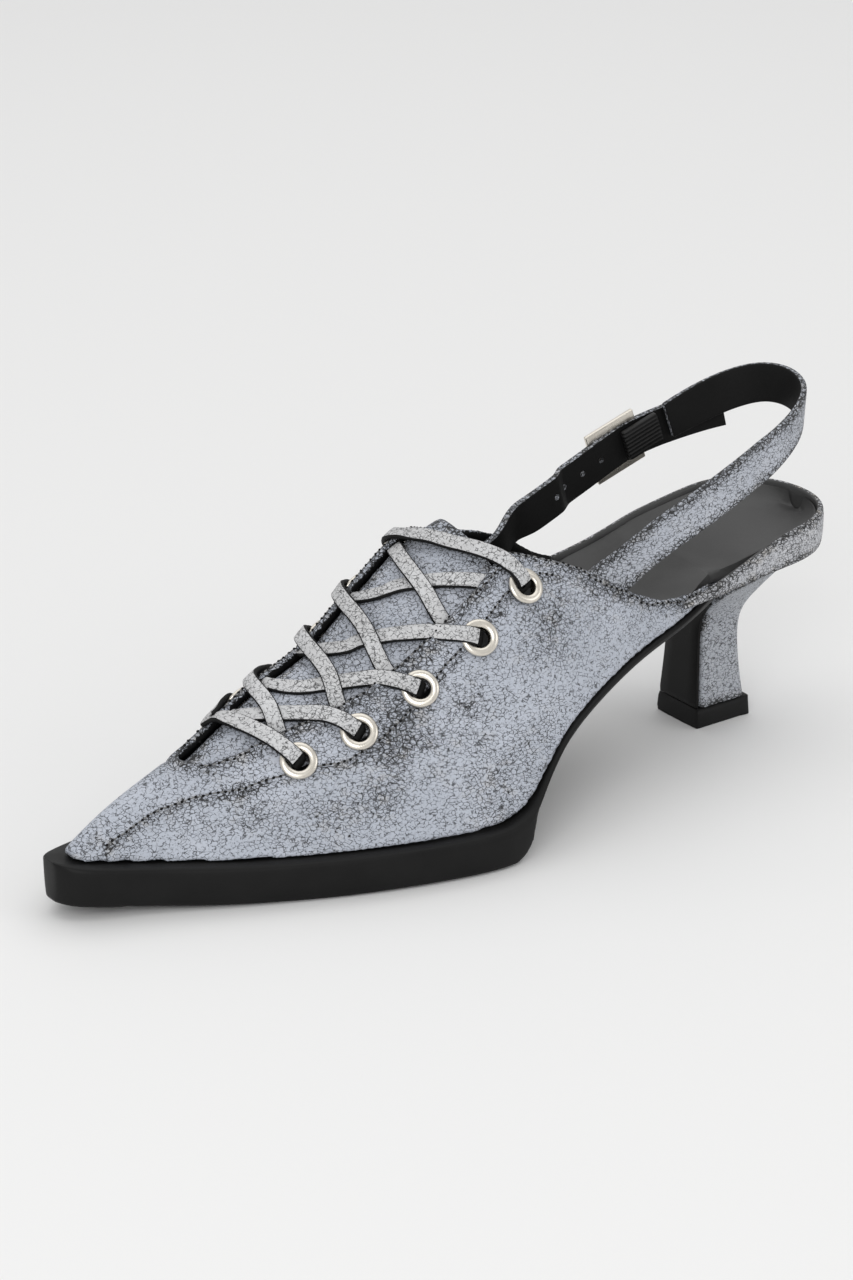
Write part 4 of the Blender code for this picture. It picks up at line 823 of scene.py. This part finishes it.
def make_rim():
    """Rim of the heel seat: leather outside, sock inside, its outer front end drawn out over the upper."""
    piece = make_plain("seat_rim", "rim", RIM_LEATHER, "leather", 1.0, 0.4)
    points = positions(piece)
    outer = points[:, 1] > 0
    front = np.clip(points[:, 0] / points[outer, 0].max(), 0.0, 1.0) * outer
    seat = points[front > 0.8, 2].min()
    lowered = seat + (points[:, 2] - seat) * (1.0 - RIM_TAPER * front) + RIM_RISE * front
    points[:, 0] += RIM_REACH * front
    points[:, 1] += RIM_OUT * front
    points[:, 2] = np.where(front > 0, lowered, points[:, 2])
    move_to(piece, points)
    rub = np.empty(len(points))
    piece.data.attributes["rub"].data.foreach_get("value", rub)
    piece.data.attributes["rub"].data.foreach_set("value", np.maximum(rub, RIM_WORN * front))
    piece.data.materials.append(SOCK)
    for face in piece.data.polygons:
        if face.normal.dot(away_from_seat(face.center, SEAT_MIDDLE)) < RIM_INSIDE:
            face.material_index = 1


def make_elastic():
    """Elastic: ribbed across its length."""
    axis = main_axes(positions(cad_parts["elastic"]))[0]
    make_plain("elastic", "elastic_band", ribbed_cloth("ribbed_elastic", axis), "black_elastic", 0.6, 0.9)


upper = make_upper()
skin = tree_of(upper)
rows = []
for side, away in (("outer", Vector((0.13, 0.20, 0.0))), ("inner", Vector((0.13, -0.20, 0.0)))):
    rows.append(stitch_line(skin, FACING[side][2:], FACING_INSET, away))
    rows.append(stitch_line(skin, TOPLINE[side], TOPLINE_INSET, Vector((0.05, away.y, -0.1))))
    rows.append(stitch_line(skin, SEAM[side], SEAM_INSET, Vector((0.13, 0.01, 0.2))))
stitches("upper_stitches", rows, THREAD, STITCH_LENGTH, STITCH_RADIUS, 0.5)
# Black grains at the needle holes: painted shade in place of the dark inside of each hole.
stitches("needle_hole_shade", rows, EDGE_PAINT, NEEDLE_SHADE_LENGTH, NEEDLE_SHADE_RADIUS, 0.0)
make_tongue()
make_plain("insole", "sock", SOCK, "sock_leather", 0.9, 0.6)
make_plain("outsole", "platform_sole", RUBBER, "sole_rubber", 0.5, 0.8)
make_rim()
make_plain("heel", "heel_cover", HEEL_LEATHER, "leather", 0.8, 0.7)
make_plain("top_piece", "heel_tip", RUBBER, "sole_rubber", 0.8, 0.9)
make_plain("breast_flap", "heel_breast", RUBBER, "sole_rubber", 0.6, 0.9)
make_elastic()
make_strap("sling_strap", "sling")
make_strap("front_strap", "front")
make_buckle()
make_plain("buckle_prong", "prong", NICKEL, "nickel", 1.6, 0.2, 1)
make_lace(make_eyelets())

# Stage, light and camera
FLOOR_SIZE = 12.0
FLOOR_COLOUR = (0.80, 0.80, 0.797)
WORLD_STRENGTH = 0.70
FOCAL_LENGTH = 94.32
SENSOR_HEIGHT = 36.0
AZIMUTH, ELEVATION, DISTANCE = math.radians(144.939), math.radians(22.5), 0.95
TARGET = Vector((0.10371, 0.0, 0.04803))

deselect()
bpy.ops.mesh.primitive_plane_add(size=FLOOR_SIZE)
floor = bpy.context.active_object
floor.name = "floor"
floor_material, floor_tree, floor_shader = new_material("pale_floor", 0.0, 0.65)
floor_shader.inputs["Base Color"].default_value = rgb(*FLOOR_COLOUR)
floor.data.materials.append(floor_material)

world = bpy.data.worlds.new("studio")
bpy.context.scene.world = world
world.use_nodes = True
world.node_tree.nodes["Background"].inputs["Color"].default_value = rgb(1.0, 1.0, 1.0)
world.node_tree.nodes["Background"].inputs["Strength"].default_value = WORLD_STRENGTH


def softbox(name, place, target, size, power):
    """A square area light that faces a target."""
    lamp = bpy.data.lights.new(name, "AREA")
    lamp.energy = power
    lamp.shape = "SQUARE"
    lamp.size = size
    made = bpy.data.objects.new(name, lamp)
    bpy.context.scene.collection.objects.link(made)
    made.location = place
    made.rotation_euler = (Vector(target) - Vector(place)).to_track_quat("-Z", "Y").to_euler()


softbox("top_light", (-0.15, -0.45, 1.7), (0.0, -0.10, 0.0), 2.2, 10.0)
softbox("front_light", (1.2, 1.1, 0.9), (0.10, 0.0, 0.04), 1.0, 10.0)
softbox("side_light", (-0.9, 1.2, 0.7), (0.10, 0.0, 0.04), 0.8, 2.5)

back = Vector((math.sin(AZIMUTH) * math.cos(ELEVATION), -math.cos(AZIMUTH) * math.cos(ELEVATION),
               math.sin(ELEVATION)))
lens = bpy.data.cameras.new("camera")
lens.sensor_fit = "VERTICAL"
lens.sensor_height = SENSOR_HEIGHT
lens.lens = FOCAL_LENGTH
camera = bpy.data.objects.new("camera", lens)
bpy.context.scene.collection.objects.link(camera)
camera.location = TARGET + back * DISTANCE
camera.rotation_euler = (-back).to_track_quat("-Z", "Y").to_euler()
bpy.context.scene.camera = camera
bpy.context.scene.view_settings.view_transform = "Standard"
